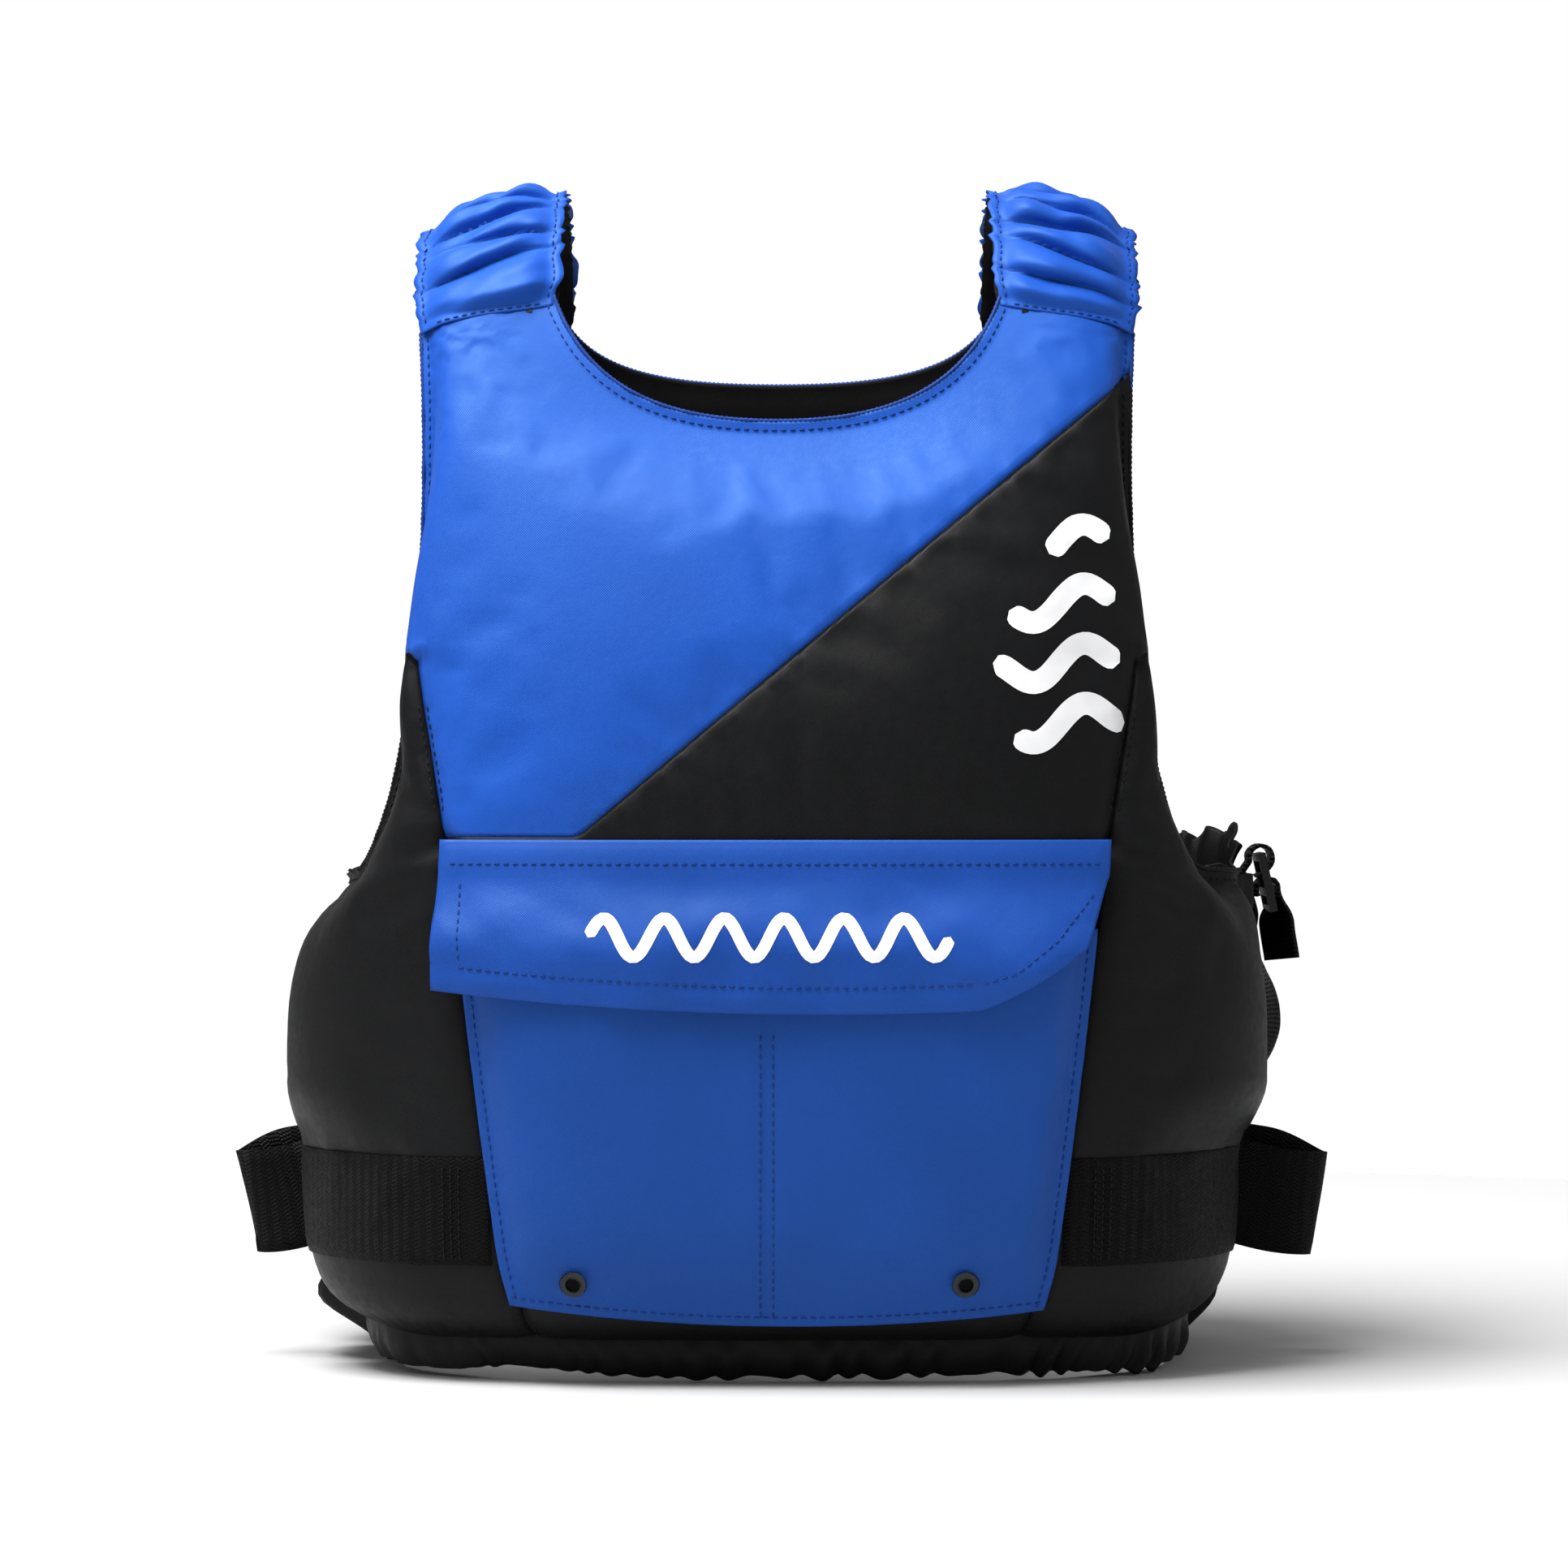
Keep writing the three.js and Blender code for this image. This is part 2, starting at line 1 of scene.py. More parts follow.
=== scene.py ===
"""Looks of a foam buoyancy aid: padded panels, gathered cloth, pocket, webbing and stitching.

Sizes are millimetres in the part's own frame: +Z up, the front faces -Y, and left is the wearer's left, +X.
Panels are drawn on a flat sheet: run is the distance round the torso from its middle, and z is the height.
"""
import bisect
import math

import bpy
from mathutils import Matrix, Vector, geometry, kdtree, noise
from mathutils.bvhtree import BVHTree


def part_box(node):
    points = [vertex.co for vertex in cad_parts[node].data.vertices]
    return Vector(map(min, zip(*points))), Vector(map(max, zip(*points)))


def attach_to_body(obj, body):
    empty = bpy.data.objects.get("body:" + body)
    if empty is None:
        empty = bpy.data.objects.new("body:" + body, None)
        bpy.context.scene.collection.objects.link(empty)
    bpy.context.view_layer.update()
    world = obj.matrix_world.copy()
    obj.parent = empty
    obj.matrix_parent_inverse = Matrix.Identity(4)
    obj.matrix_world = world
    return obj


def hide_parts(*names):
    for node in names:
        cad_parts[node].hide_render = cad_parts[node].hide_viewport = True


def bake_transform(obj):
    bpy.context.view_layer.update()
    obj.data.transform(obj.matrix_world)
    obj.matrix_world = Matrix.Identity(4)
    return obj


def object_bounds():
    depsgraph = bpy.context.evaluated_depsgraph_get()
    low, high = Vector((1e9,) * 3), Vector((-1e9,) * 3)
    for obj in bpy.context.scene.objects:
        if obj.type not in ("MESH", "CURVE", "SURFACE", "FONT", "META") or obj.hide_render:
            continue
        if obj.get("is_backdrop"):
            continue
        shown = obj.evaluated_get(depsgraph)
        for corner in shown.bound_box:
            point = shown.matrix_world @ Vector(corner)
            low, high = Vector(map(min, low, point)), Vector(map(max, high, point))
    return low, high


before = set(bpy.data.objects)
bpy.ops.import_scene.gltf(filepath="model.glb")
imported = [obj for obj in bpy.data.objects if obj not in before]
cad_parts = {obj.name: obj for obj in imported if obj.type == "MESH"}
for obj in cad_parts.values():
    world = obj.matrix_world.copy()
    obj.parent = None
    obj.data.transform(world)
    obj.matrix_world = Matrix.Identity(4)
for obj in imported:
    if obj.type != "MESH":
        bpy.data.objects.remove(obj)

CAD_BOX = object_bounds()
MM = 0.001
SIDES = {"left": 1, "right": -1}

# ---- The torso that the vest wraps, as the CAD has it ----
EXPONENT = 3
PANEL_EDGE = math.radians(84)
WIDEST = 212
WIDEST_AT = 140
FULLEST_AT = 200
FULL_DEPTH = {"front": 146, "back": 160}
SEAM_HEIGHT = 450
SEAM_SLANT = 7.5
HEM_HEIGHT = 14
FOAM_DEPTH = 28
STRAP_DEPTH = 8
STRAP_IN = 95
STRAP_OUT = 152
NECK_LOW = {"front": 403, "back": 432}
ARMHOLE_BASE = 209
YOKE_SEAM = 300


def ease(t):
    u = min(1, max(0, t))
    return u * u * (3 - 2 * u)


def mix(a, b, t):
    return a + (b - a) * t


def half_width(z):
    tuck = 24 * ((60 - z) / 60) ** 2 if z < 60 else 0
    return WIDEST - 16 * ((z - WIDEST_AT) / 300) ** 2 - tuck


def half_depth(z, face):
    full = FULL_DEPTH[face]
    if z > FULLEST_AT:
        return full - 60 * ((z - FULLEST_AT) / (SEAM_HEIGHT - FULLEST_AT)) ** 2
    return full - 11 * ((FULLEST_AT - z) / FULLEST_AT) ** 2


def lining_depth(z):
    return mix(FOAM_DEPTH, STRAP_DEPTH, ease((z - 330) / (SEAM_HEIGHT - 330)))


def cross_section(face, steps=500):
    """Rows of (run, unit x, unit y) from the middle of a face to the side."""
    a, b = half_width(FULLEST_AT), half_depth(FULLEST_AT, face)
    rows = [(0.0, 0.0, 1.0)]
    for i in range(1, steps + 1):
        turn = math.pi / 2 * i / steps
        x = math.sin(turn) ** (2 / EXPONENT)
        y = max(0.0, math.cos(turn)) ** (2 / EXPONENT)
        run = rows[-1][0] + math.hypot(a * (x - rows[-1][1]), b * (y - rows[-1][2]))
        rows.append((run, x, y))
    return rows


SECTION = {face: cross_section(face) for face in FULL_DEPTH}


def look_up(rows, column, value):
    """The row where a rising column reaches the value, interpolated."""
    i = min(len(rows) - 1, max(1, bisect.bisect_left(rows, value, key=lambda row: row[column])))
    low, high = rows[i - 1], rows[i]
    t = (value - low[column]) / (high[column] - low[column])
    return [mix(p, q, t) for p, q in zip(low, high)]


EDGE_X = math.sin(PANEL_EDGE) ** (2 / EXPONENT)
EDGE_RUN = {face: look_up(SECTION[face], 1, EDGE_X)[0] for face in FULL_DEPTH}


def sunk(row, z, depth, face):
    """The x and y, both positive, of a section row at a depth measured square to the surface."""
    _, x, y = row
    wide, deep = half_width(z), half_depth(z, face)
    normal = (x * x / wide, y * y / deep)
    size = math.hypot(*normal)
    return wide * x - depth * normal[0] / size, deep * y - depth * normal[1] / size


def torso(run, z, depth, face):
    x, y = sunk(look_up(SECTION[face], 0, abs(run)), z, depth, face)
    return Vector((math.copysign(x, run), -y if face == "front" else y, z))


def run_at(x, z, face, depth=0.0):
    """The run of the point with this x at a depth."""
    rows = SECTION[face]
    low, high = 0.0, EDGE_RUN[face]
    for _ in range(22):
        middle = (low + high) / 2
        if sunk(look_up(rows, 0, middle), z, depth, face)[0] < abs(x):
            low = middle
        else:
            high = middle
    return math.copysign((low + high) / 2, x)


def x_at(run, z, face, depth=0.0):
    return math.copysign(sunk(look_up(SECTION[face], 0, abs(run)), z, depth, face)[0], run)


# ---- Small tools ----
def bezier(points, steps):
    """Points of a Bezier curve of any degree through its control points."""
    degree = len(points) - 1
    curve = []
    for i in range(steps + 1):
        t = i / steps
        weights = [math.comb(degree, k) * t**k * (1 - t) ** (degree - k) for k in range(degree + 1)]
        point = [sum(w * p[axis] for w, p in zip(weights, points)) for axis in range(len(points[0]))]
        curve.append(tuple(point))
    return curve


def resample(points, step):
    """The same line with evenly spaced points."""
    line = [Vector(p) for p in points]
    along = [0.0]
    for p, q in zip(line, line[1:]):
        along.append(along[-1] + (q - p).length)
    count = max(1, round(along[-1] / step))
    made = []
    for k in range(count + 1):
        at = along[-1] * k / count
        i = min(len(line) - 1, max(1, bisect.bisect_left(along, at)))
        part = along[i] - along[i - 1]
        made.append(line[i - 1].lerp(line[i], (at - along[i - 1]) / part if part else 0))
    return made


def ripple(a, b, seed=0.0):
    """Smooth noise from -1 to 1."""
    return noise.noise(Vector((a, b, seed)))


def make_object(name, points, faces, material, weave=None, smooth=True):
    """A mesh object from millimetre points. weave gives each point's place on the cloth, in millimetres."""
    mesh = bpy.data.meshes.new(name)
    mesh.from_pydata([Vector(p) * MM for p in points], [], faces)
    materials = material if isinstance(material, (list, tuple)) else [material]
    for each in materials:
        mesh.materials.append(each)
    if weave:
        layer = mesh.uv_layers.new(name="weave")
        for loop in mesh.loops:
            layer.data[loop.index].uv = Vector(weave[loop.vertex_index][:2]) * MM
    if smooth:
        mesh.polygons.foreach_set("use_smooth", [True] * len(mesh.polygons))
    made = bpy.data.objects.new(name, mesh)
    bpy.context.scene.collection.objects.link(made)
    return made


def attach(made, body, slot, node=None):
    """Says which body a piece rides on and hides the CAD node that it stands for. slot is not used."""
    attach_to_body(made, body)
    if node:
        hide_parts(node)


def apply_modifiers(made):
    bpy.context.view_layer.update()
    evaluated = made.evaluated_get(bpy.context.evaluated_depsgraph_get())
    mesh = bpy.data.meshes.new_from_object(evaluated)
    made.modifiers.clear()
    made.data = mesh
    return made


def thicken(made, thickness, offset=-1):
    """Gives a sheet its thickness; offset -1 puts all of it behind the face."""
    shell = made.modifiers.new("thickness", "SOLIDIFY")
    shell.thickness = thickness * MM
    shell.offset = offset
    shell.use_even_offset = False
    return apply_modifiers(made)


def grid_faces(across, rows, flip=False):
    faces = []
    for j in range(rows - 1):
        for i in range(across - 1):
            a = j * across + i
            quad = (a, a + 1, a + across + 1, a + across)
            faces.append(quad[::-1] if flip else quad)
    return faces


def grid(name, across, rows, place, material, weave=None, flip=False, thickness=0.0):
    """A sheet of place(u, v) for u and v from 0 to 1, v rising away from u's row."""
    points = []
    cloth = []
    for j in range(rows):
        for i in range(across):
            u, v = i / (across - 1), j / (rows - 1)
            points.append(place(u, v))
            cloth.append(weave(u, v) if weave else (0, 0))
    made = make_object(name, points, grid_faces(across, rows, flip), material, cloth)
    return thicken(made, thickness) if thickness else made


# ---- Cloth ----
CLOTH_FRAMES = 16


class Sewn:
    """A sheet whose sewn points are held while the rest of its cloth settles."""

    def __init__(self, made, held, growth, pressure, cap, sink):
        self.made, self.cap, self.sink = made, cap * MM, sink * MM
        self.rest = [(v.co.copy(), v.normal.copy()) for v in made.data.vertices]
        group = made.vertex_groups.new(name="sewn")
        group.add(held, 1, "REPLACE")
        cloth = made.modifiers.new("cloth", "CLOTH")
        settings = cloth.settings
        settings.quality = 5
        settings.mass = 0.2
        settings.tension_stiffness = 20
        settings.compression_stiffness = 20
        settings.shear_stiffness = 8
        settings.bending_stiffness = 0.6
        settings.air_damping = 3
        settings.shrink_min = -growth
        settings.vertex_group_mass = "sewn"
        settings.use_pressure = True
        settings.uniform_pressure_force = pressure
        settings.effector_weights.gravity = 0
        cloth.collision_settings.use_collision = False
        cloth.point_cache.frame_end = CLOTH_FRAMES

    def finish(self):
        """Keeps the settled shape, within cap of where it began and no deeper than sink."""
        evaluated = self.made.evaluated_get(bpy.context.evaluated_depsgraph_get())
        settled = [v.co.copy() for v in evaluated.data.vertices]
        self.made.modifiers.clear()
        self.made.vertex_groups.clear()
        for vertex, place, (rest, normal) in zip(self.made.data.vertices, settled, self.rest):
            shift = place - rest
            out = shift.dot(normal)
            if out < -self.sink:
                shift -= normal * (out + self.sink)
            if shift.length > self.cap:
                shift *= self.cap / shift.length
            vertex.co = rest + shift


def settle_cloth(sheets):
    for number in range(1, CLOTH_FRAMES + 1):
        bpy.context.scene.frame_set(number)
    for sheet in sheets:
        sheet.finish()
    bpy.context.scene.frame_set(1)


# ---- Materials ----
def new_material(name, color, roughness):
    material = bpy.data.materials.new(name)
    material.use_nodes = True
    nodes = material.node_tree.nodes
    shader = nodes["Principled BSDF"]
    shader.inputs["Base Color"].default_value = (*color, 1)
    shader.inputs["Roughness"].default_value = roughness
    material.diffuse_color = (*color, 1)
    return material, shader


class Nodes:
    """A short way to add and link shader nodes."""

    def __init__(self, material):
        self.tree = material.node_tree

    def add(self, kind, settings=None, **inputs):
        node = self.tree.nodes.new(kind)
        for key, value in (settings or {}).items():
            setattr(node, key, value)
        for key, value in inputs.items():
            socket = node.inputs[int(key[1:])] if key[0] == "i" and key[1:].isdigit() else node.inputs[key]
            if isinstance(value, bpy.types.NodeSocket):
                self.tree.links.new(value, socket)
            else:
                socket.default_value = value
        return node

    def math(self, operation, a, b=0.0):
        return self.add("ShaderNodeMath", {"operation": operation}, i0=a, i1=b).outputs[0]

    def link(self, output, socket):
        self.tree.links.new(output, socket)

    def weave_axes(self):
        """Distance along and across the cloth, in millimetres."""
        uv = self.add("ShaderNodeUVMap", {"uv_map": "weave"}).outputs[0]
        parts = self.add("ShaderNodeSeparateXYZ", i0=uv)
        return [self.math("MULTIPLY", parts.outputs[k], 1 / MM) for k in (0, 1)]

    def wave(self, distance, pitch):
        return self.math("SINE", self.math("MULTIPLY", distance, 2 * math.pi / pitch))

    def speckle(self, scale, detail=3.0):
        """Noise fixed to the object, scale in features per metre."""
        place = self.add("ShaderNodeTexCoord").outputs["Object"]
        return self.add("ShaderNodeTexNoise", Vector=place, Scale=scale, Detail=detail).outputs["Fac"]

    def shade(self, shader, color, amount, *sources):
        """Varies the colour a little, darker where the sources are low."""
        value = sources[0]
        for other in sources[1:]:
            value = self.math("MULTIPLY", value, other)
        ramp = self.add("ShaderNodeMapRange", i0=value, i1=0.3, i2=0.7, i3=1 - amount, i4=1 + amount)
        tint = self.add("ShaderNodeVectorMath", {"operation": "SCALE"}, Vector=color, Scale=ramp.outputs[0])
        self.link(tint.outputs[0], shader.inputs["Base Color"])

    def roughen(self, shader, low, high, source):
        ramp = self.add("ShaderNodeMapRange", i0=source, i1=0.3, i2=0.7, i3=low, i4=high)
        self.link(ramp.outputs[0], shader.inputs["Roughness"])

    def bump(self, shader, height, distance, strength=1.0):
        """distance is in millimetres."""
        made = self.add("ShaderNodeBump", Height=height, Distance=distance * MM, Strength=strength)
        previous = shader.inputs["Normal"].links
        if previous:
            self.link(previous[0].from_socket, made.inputs["Normal"])
        self.link(made.outputs[0], shader.inputs["Normal"])


def nylon(name, color, roughness, specular, gloss=(1, 1, 1), thread=0.55):
    """Woven nylon: fine over-and-under threads and a soft sheen; the faint streaks along its warp are not
    made, only cloudy patches of tone.
    """
    material, shader = new_material(name, color, roughness)
    shader.inputs["Specular IOR Level"].default_value = specular
    shader.inputs["Specular Tint"].default_value = (*gloss, 1)
    make = Nodes(material)
    along, across = make.weave_axes()
    threads = make.math("MULTIPLY", make.wave(along, thread * 2), make.wave(across, thread * 2))
    slubs = make.speckle(240, 4.0)
    clouds = make.speckle(14, 2.0)
    make.shade(shader, color, 0.07, clouds)
    make.roughen(shader, roughness - 0.05, roughness + 0.06, slubs)
    make.bump(shader, slubs, 0.10)
    make.bump(shader, threads, 0.035)
    return material


def webbing_material(name, color, pitch=1.5, ribs=False):
    """Twill webbing in a herringbone, or plain cross ribs on the narrow strap."""
    material, shader = new_material(name, color, 0.62)
    shader.inputs["Specular IOR Level"].default_value = 0.1
    make = Nodes(material)
    along, across = make.weave_axes()
    if ribs:
        pattern = make.wave(along, pitch)
    else:
        fold = make.math("PINGPONG", along, pitch * 1.6)
        slanted = make.math("ADD", across, make.math("MULTIPLY", fold, 0.9))
        pattern = make.math("MULTIPLY", make.wave(slanted, pitch), make.wave(along, pitch * 0.8))
    fuzz = make.speckle(500)
    # Painted shade and highlight of the weave: the colour is darker in the grooves and lighter on the ridges
    # of the same relief that the bump gives.
    make.shade(shader, color, 0.6, make.math("ADD", make.math("MULTIPLY", pattern, 0.2), 0.5))
    make.roughen(shader, 0.45, 0.6, fuzz)
    make.bump(shader, fuzz, 0.08)
    make.bump(shader, pattern, 0.45)
    return material


def plain_material(name, color, roughness, grain, depth, metallic=0.0):
    """Moulded, printed or metal surfaces: a fine grain and slight patches of gloss."""
    material, shader = new_material(name, color, roughness)
    shader.inputs["Metallic"].default_value = metallic
    shader.inputs["Specular IOR Level"].default_value = 0.3
    make = Nodes(material)
    fine = make.speckle(grain)
    make.shade(shader, color, 0.1, make.speckle(30))
    make.roughen(shader, roughness - 0.06, roughness + 0.1, fine)
    make.bump(shader, fine, depth)
    return material


def pile_material(name, color):
    """Hook-and-loop tape: short stiff pile, drawn as scattered tufts rather than rows."""
    material, shader = new_material(name, color, 0.85)
    shader.inputs["Specular IOR Level"].default_value = 0.1
    make = Nodes(material)
    place = make.add("ShaderNodeTexCoord").outputs["Object"]
    tufts = make.add("ShaderNodeTexVoronoi", Vector=place, Scale=900).outputs["Distance"]
    # Painted shade in the pile: the colour is darker in the pits of the same relief that the bump gives.
    make.shade(shader, color, 0.4, tufts)
    make.bump(shader, tufts, 0.5)
    return material


def thread_material(name, color):
    material, shader = new_material(name, color, 0.6)
    shader.inputs["Specular IOR Level"].default_value = 0.15
    make = Nodes(material)
    make.shade(shader, color, 0.15, make.speckle(300))
    make.bump(shader, make.speckle(2500), 0.05)
    return material


BLUE = nylon("nylon_blue", (0.010, 0.068, 0.385), 0.46, 0.27, (0.45, 0.85, 1))
# Darker copies of the same blue nylon: the lesser light on the flap and the pocket is painted into their
# colour as shade.
FLAP_BLUE_SHADED = nylon("nylon_blue_flap_shaded", (0.010, 0.058, 0.315), 0.46, 0.22, (0.5, 0.85, 1))
POCKET_BLUE_SHADED = nylon("nylon_blue_pocket_shaded", (0.010, 0.056, 0.285), 0.46, 0.2, (0.5, 0.85, 1))
BLACK = nylon("nylon_black", (0.0050, 0.0052, 0.0058), 0.46, 0.12)
LINING = nylon("lining_black", (0.004, 0.004, 0.0045), 0.65, 0.08, thread=0.8)
WEBBING = webbing_material("webbing_black", (0.0026, 0.0026, 0.0027), 1.7)
RIBBED = webbing_material("strap_black", (0.0030, 0.0030, 0.0032), 1.9, ribs=True)
ELASTIC = webbing_material("elastic_black", (0.008, 0.008, 0.008), 1.2, ribs=True)
PLASTIC = plain_material("acetal_black", (0.005, 0.005, 0.0055), 0.34, 700, 0.03)
EYELET = plain_material("eyelet_black_brass", (0.03, 0.032, 0.036), 0.3, 900, 0.02, 0.85)
PRINT = plain_material("screen_print_white", (0.83, 0.83, 0.84), 0.42, 800, 0.03)
PILE = pile_material("hook_and_loop_black", (0.01, 0.01, 0.011))
FOAM = plain_material("foam_grey", (0.6, 0.61, 0.58), 0.9, 1200, 0.2)
BLUE_THREAD = thread_material("thread_blue", (0.008, 0.036, 0.19))
BLACK_THREAD = thread_material("thread_black", (0.006, 0.006, 0.0064))


def dress(node, material):
    """Gives a carried-over CAD node its material."""
    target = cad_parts[node]
    target = target if isinstance(target, bpy.types.Object) else bpy.data.objects[node]
    target.data.materials.clear()
    target.data.materials.append(material)


# ---- Panel outlines, drawn for the left half and mirrored ----
def neck_line(face):
    low = NECK_LOW[face]
    strap_end = (STRAP_IN, SEAM_HEIGHT + SEAM_SLANT)
    return bezier([strap_end, (80, (SEAM_HEIGHT + 3 * low) / 4), (45, low), (0, low)], 30)


def armhole_line():
    upper = bezier([(STRAP_OUT, SEAM_HEIGHT - SEAM_SLANT), (147, 370), (155, 300)], 30)
    lower = bezier([(155, 300), (158, 262), (165, 232), (178, ARMHOLE_BASE + 5)], 30)
    return upper + lower[1:] + [(184, ARMHOLE_BASE + 3), (240, ARMHOLE_BASE + 2)]


def bottom_corner(face):
    if face == "front":
        return bezier([(146, HEM_HEIGHT), (192, HEM_HEIGHT + 2), (212, 56)], 20)
    return bezier([(186, HEM_HEIGHT), (206, HEM_HEIGHT + 2), (212, 40)], 20)


def margin_depth(z):
    """How deep the sewn margins lie, just over the lining."""
    return lining_depth(z) - 2.6


def flare(run, z, face):
    """How far the bottom of the armhole stands out at the wearer's left side, where the ruffle is."""
    return 14.5 * ease((z - 168) / 30) * ease((run - EDGE_RUN[face] + 55) / 34)


def on_margin(points, face):
    return [(run_at(x, z, face, margin_depth(z)), z) for x, z in points]


def cut_at_side(points, face):
    """Turns x into run, and stops a line where it reaches the panel's side edge."""
    line = on_margin(points, face)
    edge = EDGE_RUN[face] - 0.01
    kept = [p for p in line if p[0] < edge]
    beyond = [p for p in line if p[0] >= edge]
    return kept + beyond[:1]


def half_outline(face):
    """The left half's edges by kind, from the middle of the hem round to the middle of the neck."""
    corner = cut_at_side(bottom_corner(face), face)
    arm = cut_at_side(armhole_line(), face)
    neck = on_margin(neck_line(face), face)
    return {
        "hem": [(0, HEM_HEIGHT)] + corner,
        "side": [corner[-1], arm[-1]],
        "arm": arm[::-1],
        "top": [arm[0], neck[0]],
        "neck": neck,
    }


# ---- Flat sheets, cut into pieces along their seams ----
class Pattern:
    """A panel's outline and seams as a fine triangle mesh on the flat sheet."""

    def __init__(self, chains, seams=(), spacing=5.0, rings=(), half=True, edge_step=3.0):
        self.chains = {kind: resample(line, edge_step) for kind, line in chains.items()}
        self.half = half
        loop = [p for line in self.chains.values() for p in line[:-1]]
        if half:
            loop.append(list(self.chains.values())[-1][-1])
            loop += [Vector((-p.x, p.y)) for p in reversed(loop[1:-1])]
        self.trees = {kind: self._tree(line) for kind, line in chains.items()}
        self.seams = [resample(line, edge_step) for line in seams]
        self._triangulate(loop, rings, spacing)

    @staticmethod
    def _tree(line):
        fine = resample(line, 0.8)
        tree = kdtree.KDTree(len(fine))
        for i, p in enumerate(fine):
            tree.insert((p[0], p[1], 0), i)
        tree.balance()
        return tree

    def gaps(self, run, z):
        """Distance to each kind of edge."""
        place = (abs(run) if self.half else run, z, 0)
        return {kind: tree.find(place)[2] for kind, tree in self.trees.items()}

    def _triangulate(self, loop, rings, spacing):
        points = list(loop)
        count = len(loop)
        edges = [(i, (i + 1) % count) for i in range(count)]
        for seam in self.seams:
            start = len(points)
            points += seam
            edges += [(start + i, start + i + 1) for i in range(len(seam) - 1)]
        fixed = kdtree.KDTree(len(points))
        for i, p in enumerate(points):
            fixed.insert((p.x, p.y, 0), i)
        fixed.balance()

        def is_free(p, clearance):
            return fixed.find((p.x, p.y, 0))[2] > clearance

        inner = []
        for distance in rings:
            for i in range(count):
                turn = loop[(i + 1) % count] - loop[i - 1]
                p = loop[i] + Vector((-turn.y, turn.x)).normalized() * distance
                nearest = min(self.gaps(p.x, p.y).values())
                if nearest > distance * 0.93 and is_free(p, min(distance, 1.6) * 0.8):
                    inner.append(p)
        for seam in self.seams:
            for p, q in zip(seam, seam[1:]):
                normal = Vector((p.y - q.y, q.x - p.x)).normalized()
                for offset in (-4.5, -2, 2, 4.5):
                    beside = p.lerp(q, 0.5) + normal * offset
                    if min(self.gaps(beside.x, beside.y).values()) > 2.5 and is_free(beside, 1.6):
                        inner.append(beside)
        near = kdtree.KDTree(len(points) + len(inner))
        for i, p in enumerate(points + inner):
            near.insert((p.x, p.y, 0), i)
        near.balance()
        low = [min(p[k] for p in loop) for k in (0, 1)]
        high = [max(p[k] for p in loop) for k in (0, 1)]
        rows = int((high[1] - low[1]) / (spacing * 0.866)) + 1
        columns = int((high[0] - low[0]) / spacing) + 2
        for j in range(rows):
            for i in range(columns):
                p = Vector((low[0] + (i + 0.5 * (j % 2)) * spacing, low[1] + j * spacing * 0.866))
                if near.find((p.x, p.y, 0))[2] > spacing * 0.62:
                    inner.append(p)
        made = geometry.delaunay_2d_cdt(points + inner, edges, [list(range(count))], 0, 1e-4)
        self.points = made[0]
        self.triangles = [face for face, source in zip(made[2], made[5]) if source]

    def cut(self, name, keep, place, material, flip=False, thickness=0.0):
        """The triangles whose middles pass keep(run, z), with each point put by place(run, z)."""
        chosen = []
        for face in self.triangles:
            middle = sum((self.points[i] for i in face), Vector((0, 0))) / 3
            if keep(middle.x, middle.y):
                chosen.append(face[::-1] if flip else face)
        used = sorted({i for face in chosen for i in face})
        order = {old: new for new, old in enumerate(used)}
        points = [place(*self.points[i]) for i in used]
        faces = [[order[i] for i in face] for face in chosen]
        made = make_object(name, points, faces, material, [self.points[i] for i in used])
        return thicken(made, thickness) if thickness else made


# ---- Padded panels ----
# For each kind of edge: the flat sewn margin, the width of the slope up to the foam's face,
# and how crisp it is.
SLOPES = {
    "front": {"neck": (5.5, 32, 9), "arm": (5.5, 9, 3.5), "side": (0, 12, 3), "hem": (1, 12, 3)},
    "back": {"neck": (5.5, 22, 6), "arm": (5.5, 9, 3.5), "side": (0, 8, 3), "hem": (1, 11, 3)},
}
SEAM_MARGIN = 5.5
NECK_HELD = 20
# Soft folds of the front cover on each side: start x and z, end x and z, depth, width.
FOLDS = ((139, 226, 186, 212, 2.6, 5), (150, 238, 176, 262, 1.6, 6), (140, 214, 172, 196, 1.0, 8))


def slope(gap, margin, width, crisp):
    reach = (gap - margin) / width
    return (1 + reach**-crisp) ** (-1 / crisp) if reach > 0.02 else max(0.0, reach)


def wing_seam(z):
    return 103 + (z - 5) * 0.167


SLANT_LOW = (-82.6, 228)
SLANT_HIGH = (146, 420)


def slant_height(x):
    (x0, z0), (x1, z1) = SLANT_LOW, SLANT_HIGH
    return z0 + (x - x0) * (z1 - z0) / (x1 - x0)


def distance_to_segment(x, z, x0, z0, x1, z1):
    along = Vector((x1 - x0, z1 - z0))
    t = min(1, max(0, Vector((x - x0, z - z0)).dot(along) / along.length_squared))
    return math.hypot(x - mix(x0, x1, t), z - mix(z0, z1, t))


def pinch(x, z, face):
    """How far the belt pulls a panel in beside it."""
    pull = 3 if face == "back" else 11 if x > 0 else 5.5
    return pull * ease((abs(x) - 140) / 65) * ease((124 - z) / 34)


